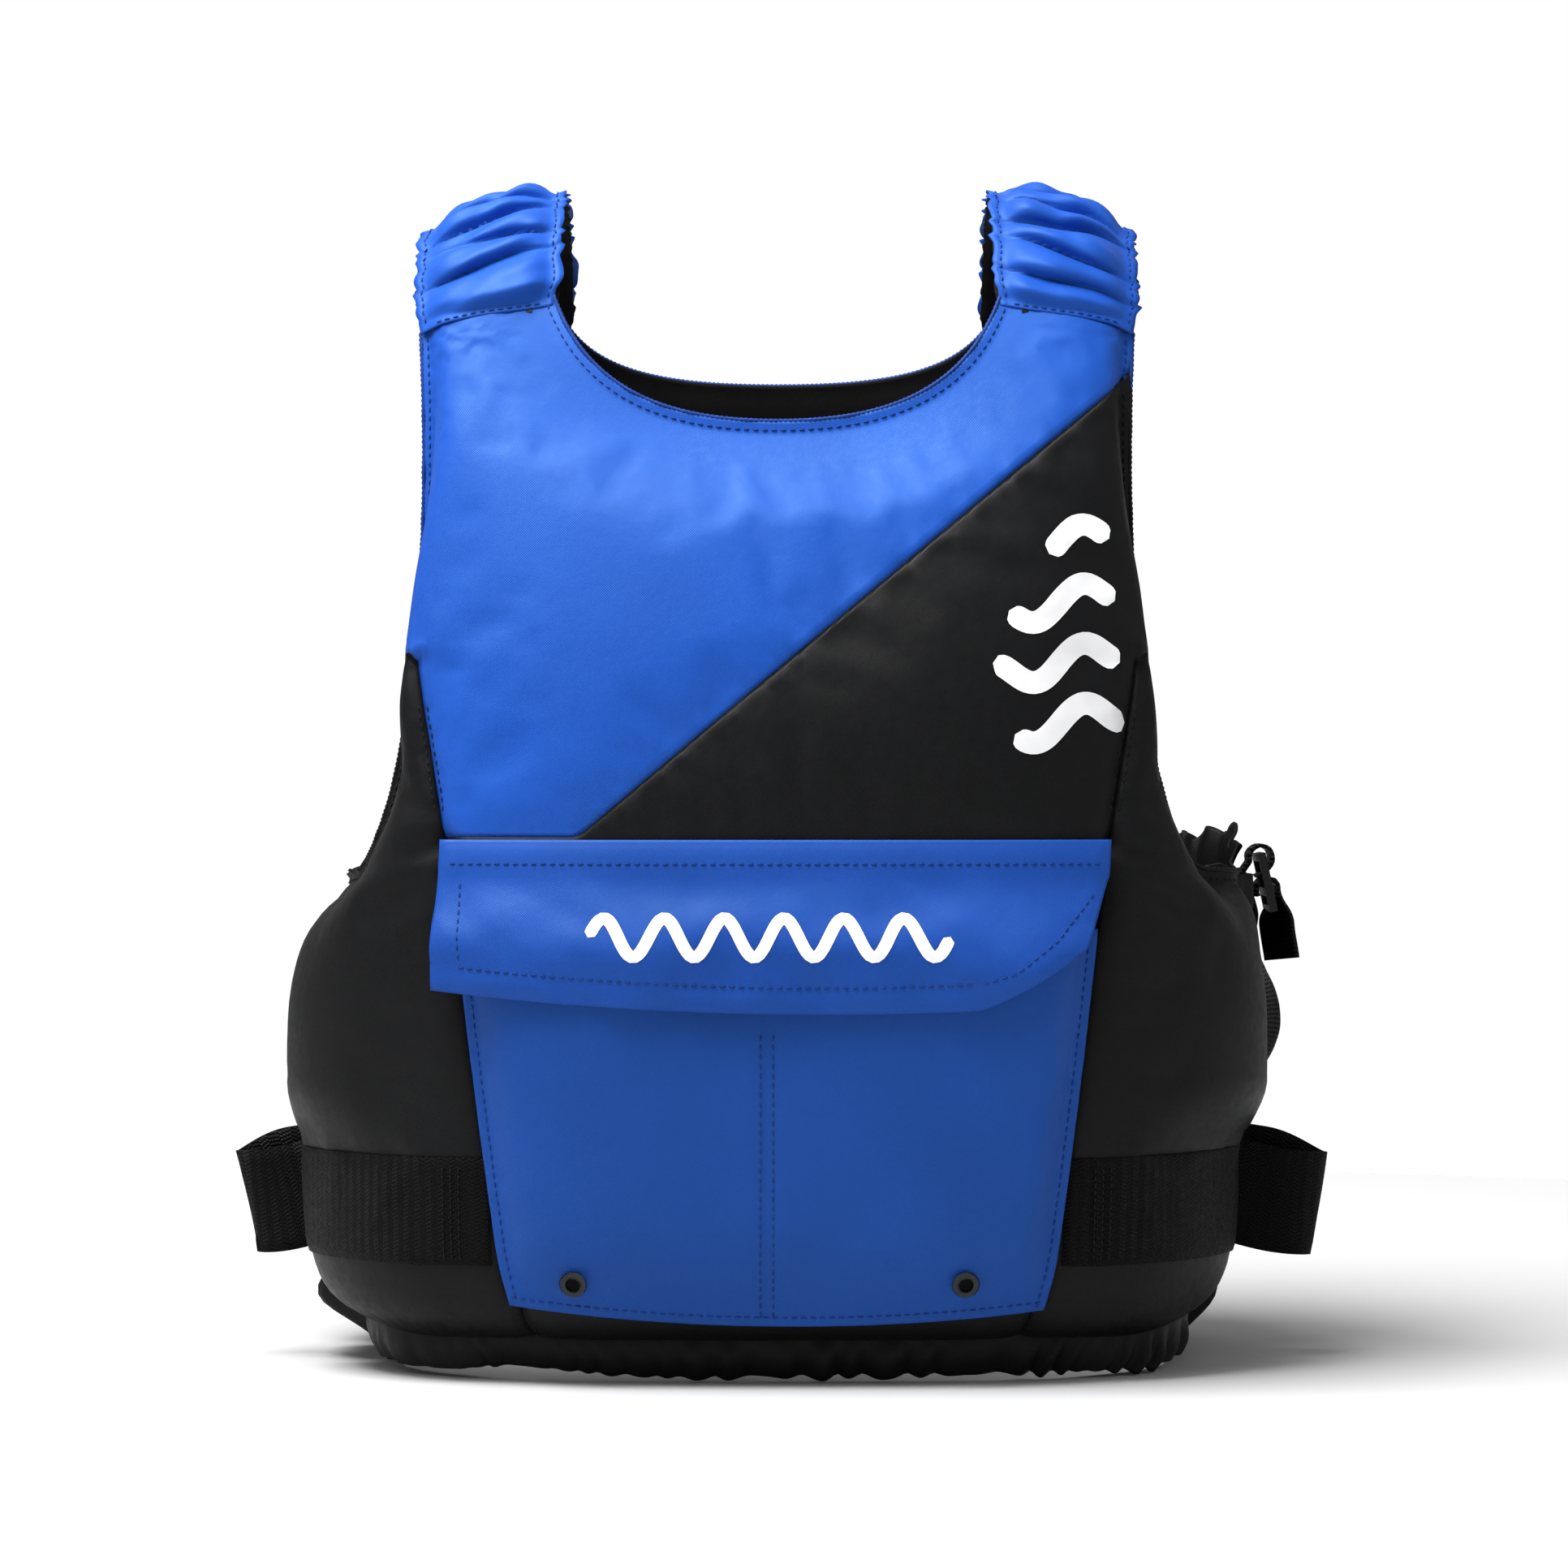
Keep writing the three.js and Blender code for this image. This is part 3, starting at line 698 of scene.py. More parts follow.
def panel_depth(pattern, run, z, face, inset=0.0):
    """How far under the full outline a panel's cover lies, or the foam inset from the cover's edges."""
    gaps = pattern.gaps(run, z)
    rise = 1.0
    pucker = 0.0
    for kind, gap in gaps.items():
        if kind == "top":
            continue
        margin, width, crisp = SLOPES[face][kind]
        if kind == "arm":
            width = mix(width, 16 if run > 0 else 24, ease((290 - z) / 50))
        rise *= slope(gap - inset, margin, width, crisp)
        if kind in ("arm", "hem"):
            pucker += math.exp(-((max(0, gap - margin) / 8) ** 2))
    x = x_at(run, z, face)
    rise *= 1 - pinch(x, z, face) / margin_depth(z)
    drop = (margin_depth(z) - flare(run, z, face)) * (1 - rise)
    if z < 304:
        beside = abs(abs(x) - wing_seam(z))
        valley = 3.2 if face == "front" else 1.6
        drop += valley * math.exp(-((beside / 3.5) ** 2)) + 1.2 * math.exp(-((beside / 12) ** 2))
    if face == "front":
        off = abs(z - slant_height(x)) * 0.77 if x > SLANT_LOW[0] else 9
        drop += 0.7 * math.exp(-((off / 1.6) ** 2))
        for *ends, deep, wide in FOLDS:
            drop += deep * rise * math.exp(-((distance_to_segment(abs(x), z, *ends) / wide) ** 2))
    else:
        drop += 0.9 * math.exp(-(((z - YOKE_SEAM) / 2.2) ** 2))
    waist = ease((z - 88) / 30) * ease((190 - z) / 40) * ease((abs(x) - 160) / 45)
    swell = (3.0 if face == "front" else 5.0) * waist * rise
    crease = 0.35 * pucker * ripple(run / 7, z / 7, 3)
    unevenness = 0.8 * ripple(run / 52, z / 64, 1) + 0.12 * ripple(run / 18, z / 22, 5)
    return drop + crease - swell - (0.25 + 0.75 * rise) * unevenness


RINGS = (1.6, 3.4, 5.2, 6.2, 7.4, 8.8, 10.4, 12.4, 15, 18.5)


def seams_of(face):
    wing = [(wing_seam(z), z) for z in (HEM_HEIGHT - 4, 310)]
    lines = []
    for side in (1, -1):
        fine = resample(wing, 10)
        lines.append([(side * run_at(x, z, face), z) for x, z in fine])
    if face == "front":
        slant = resample([(-wing_seam(228) + 1, 228), SLANT_LOW], 10)[:-1]
        slant += resample([SLANT_LOW, (157, 429)], 10)
        lines.append([(run_at(x, z, face), z) for x, z in slant])
    else:
        lines.append([(run_at(x, YOKE_SEAM, face), YOKE_SEAM) for x in range(-165, 166, 10)])
    return lines


PATTERN = {face: Pattern(half_outline(face), seams_of(face), 5.0, RINGS) for face in FULL_DEPTH}


def is_wing(run, z, face, side):
    x = x_at(run, z, face)
    return z < 305 and side * x > wing_seam(z)


def is_above_slant(run, z):
    x = x_at(run, z, "front")
    return z > 228 and (x < SLANT_LOW[0] or z > slant_height(x))


def cover(name, face, keep, material):
    """A cover piece, and the cloth that is held along its seams and margins."""
    pattern = PATTERN[face]

    def place(run, z):
        return torso(run, z, panel_depth(pattern, run, z, face), face)

    made = pattern.cut(name, keep, place, material, face == "back")
    edges = {}
    for polygon in made.data.polygons:
        for key in polygon.edge_keys:
            edges[key] = edges.get(key, 0) + 1
    held = {i for key, uses in edges.items() if uses == 1 for i in key}
    cloth = made.data.uv_layers["weave"].data
    for loop in made.data.loops:
        run, z = cloth[loop.index].uv / MM
        under_pocket = face == "front" and abs(run) < 143 and z < 234
        gaps = pattern.gaps(run, z)
        at_seam = min(gaps["arm"], gaps["hem"]) < SEAM_MARGIN
        if under_pocket or gaps["neck"] < NECK_HELD or at_seam:
            held.add(loop.vertex_index)
    return made, Sewn(made, sorted(held), 0.007, 1.5, 3.0, 0.7)


def foam_block(name, face, keep):
    """The foam under a cover: closed, and inside the sewn margins."""
    pattern = PATTERN[face]

    def inside(run, z):
        gaps = pattern.gaps(run, z)
        return min(gaps.values()) > SEAM_MARGIN + 1 and keep(run, z)

    middles = [sum((pattern.points[i] for i in f), Vector((0, 0))) / 3 for f in pattern.triangles]
    chosen = [f for f, middle in zip(pattern.triangles, middles) if inside(*middle)]
    used = sorted({i for f in chosen for i in f})
    order = {old: new for new, old in enumerate(used)}
    outer = []
    inner = []
    for i in used:
        run, z = pattern.points[i]
        top = panel_depth(pattern, run, z, face, 2.6) + 1.5
        base = max(lining_depth(z) - 1.4 - flare(run, z, face), top + 0.4)
        outer.append(torso(run, z, top, face))
        inner.append(torso(run, z, base, face))
    count = len(used)
    faces = []
    links = {}
    for f in chosen:
        tri = [order[i] for i in (f[::-1] if face == "back" else f)]
        faces.append(tri)
        faces.append([count + i for i in reversed(tri)])
        for a, b in zip(tri, tri[1:] + tri[:1]):
            links[(a, b)] = True
    for a, b in links:
        if (b, a) not in links:
            faces.append([b, a, count + a, count + b])
    made = make_object(name, outer + inner, faces, FOAM)
    attach(made, "vest", "foam", name.replace("_block", ""))
    return made


def build_panels():
    front_middle = lambda run, z: not is_wing(run, z, "front", 1) and not is_wing(run, z, "front", -1)
    pieces = {
        "front_cover_upper": ("front", lambda r, z: front_middle(r, z) and is_above_slant(r, z), BLUE),
        "front_cover_lower": ("front", lambda r, z: front_middle(r, z) and not is_above_slant(r, z), BLACK),
        "front_cover_wing_left": ("front", lambda r, z: is_wing(r, z, "front", 1), BLACK),
        "front_cover_wing_right": ("front", lambda r, z: is_wing(r, z, "front", -1), BLACK),
        "back_cover_yoke": ("back", lambda r, z: z > YOKE_SEAM, BLUE),
        "back_cover_lower": ("back", lambda r, z: z < YOKE_SEAM, BLACK),
    }
    covers = {}
    sheets = []
    for node, (face, keep, material) in pieces.items():
        made, sheet = cover(f"{node}_cloth", face, keep, material)
        covers[node] = made
        sheets.append(sheet)
    settle_cloth(sheets)
    for node, made in covers.items():
        thicken(made, 1.0)
        attach(made, "vest", "cover_blue" if pieces[node][2] is BLUE else "cover_black", node)
    for face in FULL_DEPTH:
        middle = lambda r, z, face=face: not is_wing(r, z, face, 1) and not is_wing(r, z, face, -1)
        foam_block(f"{face}_foam_middle_block", face, middle)
        for name, side in SIDES.items():
            foam_block(f"{face}_foam_{name}_block", face, lambda r, z, s=side, f=face: is_wing(r, z, f, s))
        pattern = PATTERN[face]

        def place(run, z, face=face, pattern=pattern):
            nearest = min(gap for kind, gap in pattern.gaps(run, z).items() if kind != "top")
            sag = 0.9 * ripple(run / 30, z / 40, 8) * ease(nearest / 20)
            depth = lining_depth(z) - 0.4 - flare(run, z, face)
            return torso(run, z, depth + 2.0 * ease(nearest / 14) + sag, face)

        lining = pattern.cut(f"{face}_lining_cloth", lambda r, z: True, place, LINING, face == "front", 0.8)
        attach(lining, "vest", "lining", f"{face}_lining")
    return covers


# ---- Things laid on the panels ----
class Surface:
    """Finished sheets that trims are laid on."""

    def __init__(self, *objects):
        points = []
        faces = []
        for made in objects:
            start = len(points)
            points += [v.co / MM for v in made.data.vertices]
            faces += [[start + i for i in p.vertices] for p in made.data.polygons]
        self.tree = BVHTree.FromPolygons(points, faces)

    def settle(self, point, outward, reach=60):
        """The outer surface met from outside the vest, and its normal."""
        outward = Vector(outward).normalized()
        hit, normal, _, _ = self.tree.ray_cast(Vector(point) + outward * reach * 0.5, -outward, reach)
        if hit is None:
            hit, normal, _, _ = self.tree.find_nearest(Vector(point))
        return hit, normal if normal.dot(outward) > 0 else -normal


def outward_at(run, z, face):
    near = torso(run, z, 6, face)
    return (torso(run, z, -6, face) - near).normalized()


def tube(points, radii, sides=6):
    """Rings round a line, as points and faces with closed ends."""
    made = []
    faces = []
    count = len(points)
    side_way = None
    for i, p in enumerate(points):
        along = (points[min(i + 1, count - 1)] - points[max(i - 1, 0)]).normalized()
        if side_way is None:
            side_way = along.orthogonal().normalized()
        side_way = (side_way - along * side_way.dot(along)).normalized()
        other = along.cross(side_way)
        for k in range(sides):
            turn = 2 * math.pi * k / sides
            made.append(p + (side_way * math.cos(turn) + other * math.sin(turn)) * radii[i])
    for i in range(count - 1):
        for k in range(sides):
            a, b = i * sides + k, i * sides + (k + 1) % sides
            faces.append([a, b, b + sides, a + sides])
    faces.append(list(reversed(range(sides))))
    faces.append(list(range((count - 1) * sides, count * sides)))
    return made, faces


class Stitching:
    """Rows of thread stitches of one colour on one body, kept as one piece."""

    def __init__(self, name, material, body, slot):
        self.name, self.material, self.body, self.slot = name, material, body, slot
        self.points = []
        self.faces = []

    def row(self, places, length=2.7, pitch=3.9, radius=0.36):
        """places are (point, normal) along the row."""
        line = [p for p, _ in places]
        normals = [n for _, n in places]
        along = [0.0]
        for p, q in zip(line, line[1:]):
            along.append(along[-1] + (q - p).length)

        def at(distance):
            i = min(len(line) - 1, max(1, bisect.bisect_left(along, distance)))
            part = along[i] - along[i - 1]
            t = (distance - along[i - 1]) / part if part else 0
            return line[i - 1].lerp(line[i], t), normals[i - 1].lerp(normals[i], t).normalized()

        for k in range(int(along[-1] / pitch)):
            start = (k + 0.15) * pitch
            stitch = []
            for step, lift in ((0, -0.35), (0.18, 0.12), (0.5, 0.28), (0.82, 0.12), (1, -0.35)):
                p, n = at(start + length * step)
                stitch.append(p + n * lift)
            self._add(*tube(stitch, [radius * 0.5, radius, radius, radius, radius * 0.5], 5))

    def _add(self, points, faces):
        start = len(self.points)
        self.points += points
        self.faces += [[start + i for i in face] for face in faces]

    def finish(self):
        made = make_object(self.name, self.points, self.faces, self.material)
        attach(made, self.body, self.slot)
        return made


def row_on(surface, line, face, step=2.0):
    """Places on the panels along a line of (run, z)."""
    places = []
    for p in resample(line, step):
        outward = outward_at(p.x, p.y, face)
        places.append(surface.settle(torso(p.x, p.y, 4, face), outward))
    return places


def offset_line(line, distance):
    """The line moved sideways, to its left for a positive distance."""
    points = resample(line, 2.0)
    moved = []
    for i, p in enumerate(points):
        turn = points[min(i + 1, len(points) - 1)] - points[max(i - 1, 0)]
        moved.append(p + Vector((-turn.y, turn.x)).normalized() * distance)
    return [(p.x, p.y) for p in moved]


def whipped_edge(name, node, line, face, tint_from, slot):
    """Overlocking round a raw edge: a ribbed roll of thread, black below tint_from."""
    points = []
    for p in resample(line, 1.1):
        wander = 0.5 * ripple(p.x / 9, p.y / 9, 12)
        points.append(torso(p.x, p.y, lining_depth(p.y) - 2.1 + wander - flare(p.x, p.y, face), face))
    radii = [1.15 if i % 2 else 0.8 for i in range(len(points))]
    rings, faces = tube(points, radii, 6)
    made = make_object(name, rings, faces, [BLACK_THREAD, BLUE_THREAD])
    for polygon in made.data.polygons:
        polygon.material_index = int(polygon.center.z / MM > tint_from)
    attach(made, "vest", slot, node)


def build_edges(surfaces, blue, black):
    for face in FULL_DEPTH:
        chains = half_outline(face)
        arm, neck = chains["arm"], chains["neck"]
        whole_neck = neck + [(-run, z) for run, z in reversed(neck[:-1])]
        whipped_edge(f"neck_edging_{face}", f"neck_binding_{face}", whole_neck, face, 0, "cover_blue")
        places = row_on(surfaces[face], offset_line(whole_neck, 4), face)
        blue.row(places)
        for name, side in SIDES.items():
            change = YOKE_SEAM if face == "back" else (419 if side > 0 else 298)
            mirrored = [(side * run, z) for run, z in arm]
            node = f"armhole_binding_{face}_{name}"
            whipped_edge(f"armhole_edging_{face}_{name}", node, mirrored, face, change, "cover_black")
            inset = offset_line(mirrored, 4 * side)
            for thread, keep in ((blue, lambda z: z > change), (black, lambda z: z <= change)):
                part = [p for p in inset if keep(p[1])]
                if len(part) > 3:
                    thread.row(row_on(surfaces[face], part, face))
            seam = [(side * run_at(wing_seam(z), z, face), z) for z in range(HEM_HEIGHT + 2, 292, 6)]
            for offset in (-2.2, 2.2):
                line = [(run + side * offset, z) for run, z in seam]
                if face == "front":
                    line = [p for p in line if p[1] < 40 or p[1] > 232]
                    for part in ([p for p in line if p[1] < 40], [p for p in line if p[1] > 232]):
                        black.row(row_on(surfaces[face], part, face))
                else:
                    black.row(row_on(surfaces[face], line, face))
    yoke = [(run_at(x, YOKE_SEAM, "back"), YOKE_SEAM + 3) for x in range(-150, 151, 10)]
    blue.row(row_on(surfaces["back"], yoke, "back"))


# ---- Shoulder sleeves ----
SHOULDER_TOP = 512
SHOULDER_DROP = 16
SHOULDER_SLOPE = 2 * 60 / (SEAM_HEIGHT - FULLEST_AT)


def shoulder_arc(face):
    reach = half_depth(SEAM_HEIGHT, face)
    rise = SHOULDER_TOP - SEAM_HEIGHT
    cosine = rise / (reach / SHOULDER_SLOPE - rise)
    return cosine, rise / (1 - cosine), reach / math.sqrt(1 - cosine**2), math.acos(cosine)


SHOULDER_ARC = {face: shoulder_arc(face) for face in FULL_DEPTH}


def shoulder(x, t, depth):
    """A point over the shoulder: t is -1 at the front seam and 1 at the back seam."""
    cosine_end, height, reach, end = SHOULDER_ARC["back" if t > 0 else "front"]
    cosine = math.cos(abs(t) * end)
    lift = (cosine - cosine_end) / (1 - cosine_end)
    drop = SHOULDER_DROP * (abs(x) - STRAP_IN) / (STRAP_OUT - STRAP_IN)
    narrowing = (1 - (abs(x) / half_width(SEAM_HEIGHT)) ** EXPONENT) ** (1 / EXPONENT)
    y = (reach - depth) * math.sin(abs(t) * end) * narrowing
    z = SHOULDER_TOP + (height - depth) * (cosine - 1) - depth - drop * lift
    return Vector((x, math.copysign(y, t), z))


# Gathers are placed on a scale from 0 at the front seam to SLEEVE_SPAN at the back seam. The line over the
# shoulder is shorter, about 205.
SLEEVE_SPAN = 236
SLEEVE_MARGIN = 0.83
# The valleys between a sleeve's gathers: place on that scale, and lean across the sleeve.
SLEEVE_VALLEYS = {
    "right": (
        (0, 0), (31, 6), (50, -3), (69, 9), (92, -4), (113, 6),
        (137, -6), (158, 5), (183, -7), (207, 4), (SLEEVE_SPAN, 0),
    ),
    "left": (
        (0, 0), (19, 2), (38, 7), (60, -5), (82, 6), (107, -5),
        (129, 6), (153, -6), (174, 3), (204, -5), (SLEEVE_SPAN, 0),
    ),
}
SLEEVE_OVERHANG = 5.5


def sleeve_fold(t, v, seed, valleys):
    """Height of the gathers: rolls that are steep towards the nearer seam and slope away from it."""
    along = (t + 1) / 2 * SLEEVE_SPAN
    lines = [at - lean * v + 2.5 * ripple(v * 1.4, at / 9, seed) for at, lean in valleys]
    i = min(len(lines) - 2, max(0, bisect.bisect_right(lines, along) - 1))
    wide = lines[i + 1] - lines[i]
    part = min(1, max(0, (along - lines[i]) / wide))
    if valleys[i][0] + valleys[i + 1][0] > SLEEVE_SPAN:
        part = 1 - part
    roll = math.sin(math.pi * part**0.62) ** 0.8
    size = min(1, wide / 20) * (0.9 + 0.4 * ripple(i * 1.7, v * 0.8, seed + 13))
    crumple = 0.3 * roll * ripple(along / 11 + 1.3 * v, v * 1.7, seed + 5)
    return (roll * size + crumple) * ease((1 - abs(t)) / 0.11)


STRAP_MIDDLE = (STRAP_IN + STRAP_OUT) / 2
STRAP_HALF = (STRAP_OUT - STRAP_IN) / 2


def sleeve_outer(name, side, seed):
    """The gathered face of a sleeve: u runs across it and w over the shoulder from the front, both 0 to 1."""
    valleys = SLEEVE_VALLEYS[name]

    def place(u, w):
        v, t = 2 * u - 1, 2 * w - 1
        fold = sleeve_fold(t, v, seed, valleys)
        middling = ease((1 - abs(t)) / 0.15)
        jag = (5.0 * (fold - 0.5) + 0.7 * ripple(t * 13, v, seed)) * abs(v) ** 5 * middling
        x = side * (STRAP_MIDDLE + v * (STRAP_HALF + 2 * middling) + math.copysign(jag, v))
        crown = max(0.0, 1 - abs(v / SLEEVE_MARGIN) ** 5)
        curl = 1.8 * ripple(t * 9, 5 + v, seed) * ease((abs(v) - 0.7) / 0.3) * middling
        depth = 4.4 - 2.4 * crown - 9.0 * fold * (0.25 + 0.75 * crown) - curl
        hanging = math.copysign(SLEEVE_OVERHANG * 2 / SLEEVE_SPAN * fold * (0.3 + 0.7 * crown), t)
        slant = t * (1.006 + SEAM_SLANT * 2 / SLEEVE_SPAN * v) + hanging * ease(abs(t) / 0.15)
        face = "front" if t < 0 else "back"
        run = run_at(x, SEAM_HEIGHT - 3, face)
        lying = panel_depth(PATTERN[face], run, SEAM_HEIGHT - 3, face) - 0.8
        return shoulder(x, slant, mix(depth, lying, ease((abs(t) - 0.93) / 0.05)))

    return place


def sleeve_inner(side, seed):
    """The plain face of a sleeve, which lies on the shoulder."""

    def place(u, w):
        v, t = 2 * u - 1, 2 * w - 1
        wide = STRAP_HALF + (2.6 + 1.6 * ripple(t * 25, v, seed + 2)) * ease((1 - abs(t)) / 0.15)
        return shoulder(side * (STRAP_MIDDLE + v * wide), t * 0.995, 6.2 + 0.5 * ripple(t * 12, v * 2, seed))

    return place


def build_sleeves(blue_rows):
    for name, side in SIDES.items():
        seed = 21.0 + 7 * side
        elastic = f"shoulder_elastic_{name}"
        outer, inner = sleeve_outer(name, side, seed), sleeve_inner(side, seed)
        cloth = lambda u, w: (60 * u, SLEEVE_SPAN * 1.5 * w)
        title = f"shoulder_{name}_gathered"
        sleeve = gathered_sheet(title, 30, 190, outer, BLUE, cloth, side < 0, 0.7)
        attach(sleeve, "vest", "cover_blue", f"shoulder_sleeve_{name}")
        title = f"shoulder_{name}_underside"
        under = gathered_sheet(title, 14, 120, inner, LINING, cloth, side > 0, 0.6)
        attach(under, "vest", "lining")
        dress(elastic, ELASTIC)
        stitch_sleeve(Surface(sleeve), outer, blue_rows)


def stitch_sleeve(surface, outer, blue_rows):
    """A row of stitches across each end of a sleeve and one along each edge."""
    across = [[(0.09 + 0.82 * i / 30, t) for i in range(31)] for t in (-0.985, 0.985)]
    along = [[((v + 1) / 2, -0.965 + 1.93 * i / 149) for i in range(150)] for v in (-0.9, 0.9)]
    for row in across + along:
        places = []
        for u, t in row:
            base = outer(u, (t + 1) / 2)
            above = shoulder(base.x, t, -20) - shoulder(base.x, t, 0)
            places.append(surface.settle(base, above, 16))
        blue_rows.row(places)


# ---- Elastic sides and gathered hems ----
def side_point(side, y, z, depth):
    face = "front" if y < 0 else "back"
    reach = half_depth(z, face) - depth
    narrowing = (1 - (abs(y) / reach) ** EXPONENT) ** (1 / EXPONENT)
    return Vector((side * (half_width(z) - depth) * narrowing, y, z))


def gather(distance, pitch, seed):
    """Folds from 0 to 1 along a shirred edge, uneven in width and height."""
    folds = distance / pitch
    phase = folds + 1.3 * ripple(folds / 3.3, 0.5, seed) + 0.35 * ripple(folds / 0.9, 3.5, seed)
    size = 0.62 + 0.9 * ripple(folds / 1.7, 7.5, seed)
    return (0.5 + 0.5 * math.sin(2 * math.pi * phase)) ** 0.8 * max(0.12, size)


def build_sides():
    for name, side in SIDES.items():
        seed = 40.0 + side

        def place(u, v, side=side, seed=seed):
            y, z = mix(-38, 42, u), mix(3, 211, v)
            fold = gather(y + 3 * ripple(y / 30, z / 45, seed), 8.5, seed + 0.2 * ripple(0, z / 60, 2))
            sewn = ease((abs(y - 2) - 25) / 11)
            stand = 14.5 * ease((z - 168) / 30) if side > 0 else -9 * ease((z - 172) / 28) * (1 - sewn)
            bulge = (7 if side > 0 else 16) * math.exp(-(((z - 27) / 13) ** 2))
            return side_point(side, y, z, mix(21 - 3.4 * fold, 26.5, sewn) - stand - bulge * (1 - 0.5 * sewn))

        weave = lambda u, v: (110 * u, 210 * v)
        panel = gathered_sheet(f"side_gusset_{name}_gathered", 110, 60, place, BLACK, weave, side < 0, 0.8)
        attach(panel, "vest", "cover_black", f"side_gusset_{name}")
        build_armhole_ruffle(name, side, seed)


def line_length(points):
    return sum((b - a).length for a, b in zip(points, points[1:]))


def unrolled(place, columns, rows):
    """Length along the middle, tallest part and area of a gathered strip when it is laid out flat, in mm."""
    middle = line_length([place(i / (columns - 1), 0.5) for i in range(columns)])
    upright = []
    for i in range(columns):
        upright.append(line_length([place(i / (columns - 1), j / (rows - 1)) for j in range(rows)]))
    return middle, max(upright), middle * sum(upright) / columns


def gathered_sheet(name, across, rows, place, material, weave, flip, thickness):
    """A gathered sheet. The size that its own cloth has when it is laid out flat is worked out but not used.
    """
    made = grid(name, across, rows, place, material, weave, flip, thickness)
    width, length, area = unrolled(place, across, rows)
    return made


def armhole_bottom(side):
    """The line round the bottom of an armhole, from the front panel over the side to the back panel."""
    path = []
    for face in ("front", "back"):
        line = [p for p in half_outline(face)["arm"][::-1] if x_at(*p, face, margin_depth(p[1])) > 170]
        stand = [flare(run, z, face) if side > 0 else 0 for run, z in line]
        part = [torso(run, z, margin_depth(z) + 1 - out, face) for (run, z), out in zip(line, stand)]
        path += part if face == "front" else part[::-1]
    return resample([(side * p.x, p.y, p.z) for p in path], 1.1)


def build_armhole_ruffle(name, side, seed):
    """The gathered heading that stands up from the elastic at the bottom of the armhole."""
    path = armhole_bottom(side)
    count = len(path)
    tallest = 25 if side > 0 else 5

    def place(u, v):
        i = round(u * (count - 1))
        p = path[i]
        along = (path[min(i + 2, count - 1)] - path[max(i - 2, 0)]).normalized()
        out = Vector((along.y, -along.x, 0)).normalized() * side
        if out.x * side < 0:
            out = -out
        distance = 1.1 * i
        fold = gather(distance, 13, seed + 3) - 0.4
        ends = ease(min(i, count - 1 - i) / 26)
        behind = ease((p.y + 30) / 40) if side > 0 else 1
        height = tallest * (0.8 + 0.4 * ripple(distance / 15, 4, seed)) * ends * mix(0.35, 1.2, behind)
        lean = (5.5 if side > 0 else 2.5) * fold * (0.2 + v) + 0.2 * height * v * v
        sway = 2.5 * v * ripple(distance / 16, 9, seed)
        return p + out * lean + along * sway + Vector((0, 0, height * (v - 0.15 * v * v) - 4))

    weave = lambda u, v: (count * 1.7 * u, 12 * v)
    ruffle = gathered_sheet(f"armhole_ruffle_{name}", count, 12, place, BLACK, weave, side < 0, 1.2)
    attach(ruffle, "vest", "cover_black")


# The distance between two points along a hem, and the points on each side that set its direction.
HEM_STEP = 1.9
HEM_REACH = 3


def turn_at(line, i):
    """The direction of a hem line at its point i."""
    return (line[min(i + HEM_REACH, len(line) - 1)] - line[max(i - HEM_REACH, 0)]).normalized()


def hem_casing(face, line):
    """The gathered casing at the bottom of a panel; v runs down it."""
    seed = 60.0 if face == "front" else 66.0
    count = len(line)

    def place(u, v):
        i = round(u * (count - 1))
        p = line[i]
        turn = turn_at(line, i)
        corner = ease((abs(p.x) - 135) / 40)
        fold = gather(HEM_STEP * i, 17, seed)
        reach = mix(12.5, 8, corner) if face == "back" else mix(8.5, 12.5, ease((p.x + 150) / 110))
        reach *= mix(0.25, 1, ease(min(i, count - 1 - i) * HEM_STEP / 30))
        lively = mix(0.5, 1.2, ease((p.x + 60) / 120))
        off = mix(-9, reach + 3.0 * lively * (fold - 0.6), v)
        run, z = p.x + turn.y * off, p.y - turn.x * off
        swing = mix(4.5, 3.5, corner) * lively * (fold - 0.3) * ease(v * 1.5)
        depth = mix(21, mix(margin_depth(z) - 1, 15, v), corner) - swing - 2.5 * math.sin(math.pi * v)
        drop = 0.75 * corner * v * max(0, z - 3)
        run -= math.copysign((10 * v * v - 5 * v) * corner, run)
        return torso(run, max(z - drop, 0.5), depth, face)

    return place


def hem_band(face, line):
    """The elastic inside the casing."""

    def place(u, v):
        i = round(u * (len(line) - 1))
        turn = turn_at(line, i)
        off = mix(0, 8, v)
        z = max(line[i].y - turn.x * off, 1)
        depth = mix(24, margin_depth(z) + 2, ease((abs(line[i].x) - 135) / 40))
        return torso(line[i].x + turn.y * off, z, depth, face)

    return place


def build_hems():
    for face in FULL_DEPTH:
        half = half_outline(face)["hem"]
        line = resample([(-run, z) for run, z in half[:0:-1]] + half, HEM_STEP)
        count = len(line)
        weave = lambda u, v, count=count: (count * 3 * u, 24 * v)
        casing = hem_casing(face, line)
        hem = gathered_sheet(f"hem_{face}_gathered", count, 13, casing, BLACK, weave, face == "front", 1.0)
        attach(hem, "vest", "cover_black", f"hem_casing_{face}")
        length = lambda u, v, count=count: (count * HEM_STEP * u, 8 * v)
        band = hem_band(face, line)
        elastic = grid(f"hem_{face}_elastic_band", count, 3, band, ELASTIC, length, face == "front", 0.9)
        attach(elastic, "vest", "elastic", f"hem_elastic_{face}")


# ---- Pocket ----
POCKET_DEPTH = 12
POCKET_TOP = 190
DIVIDER_X = -4.0


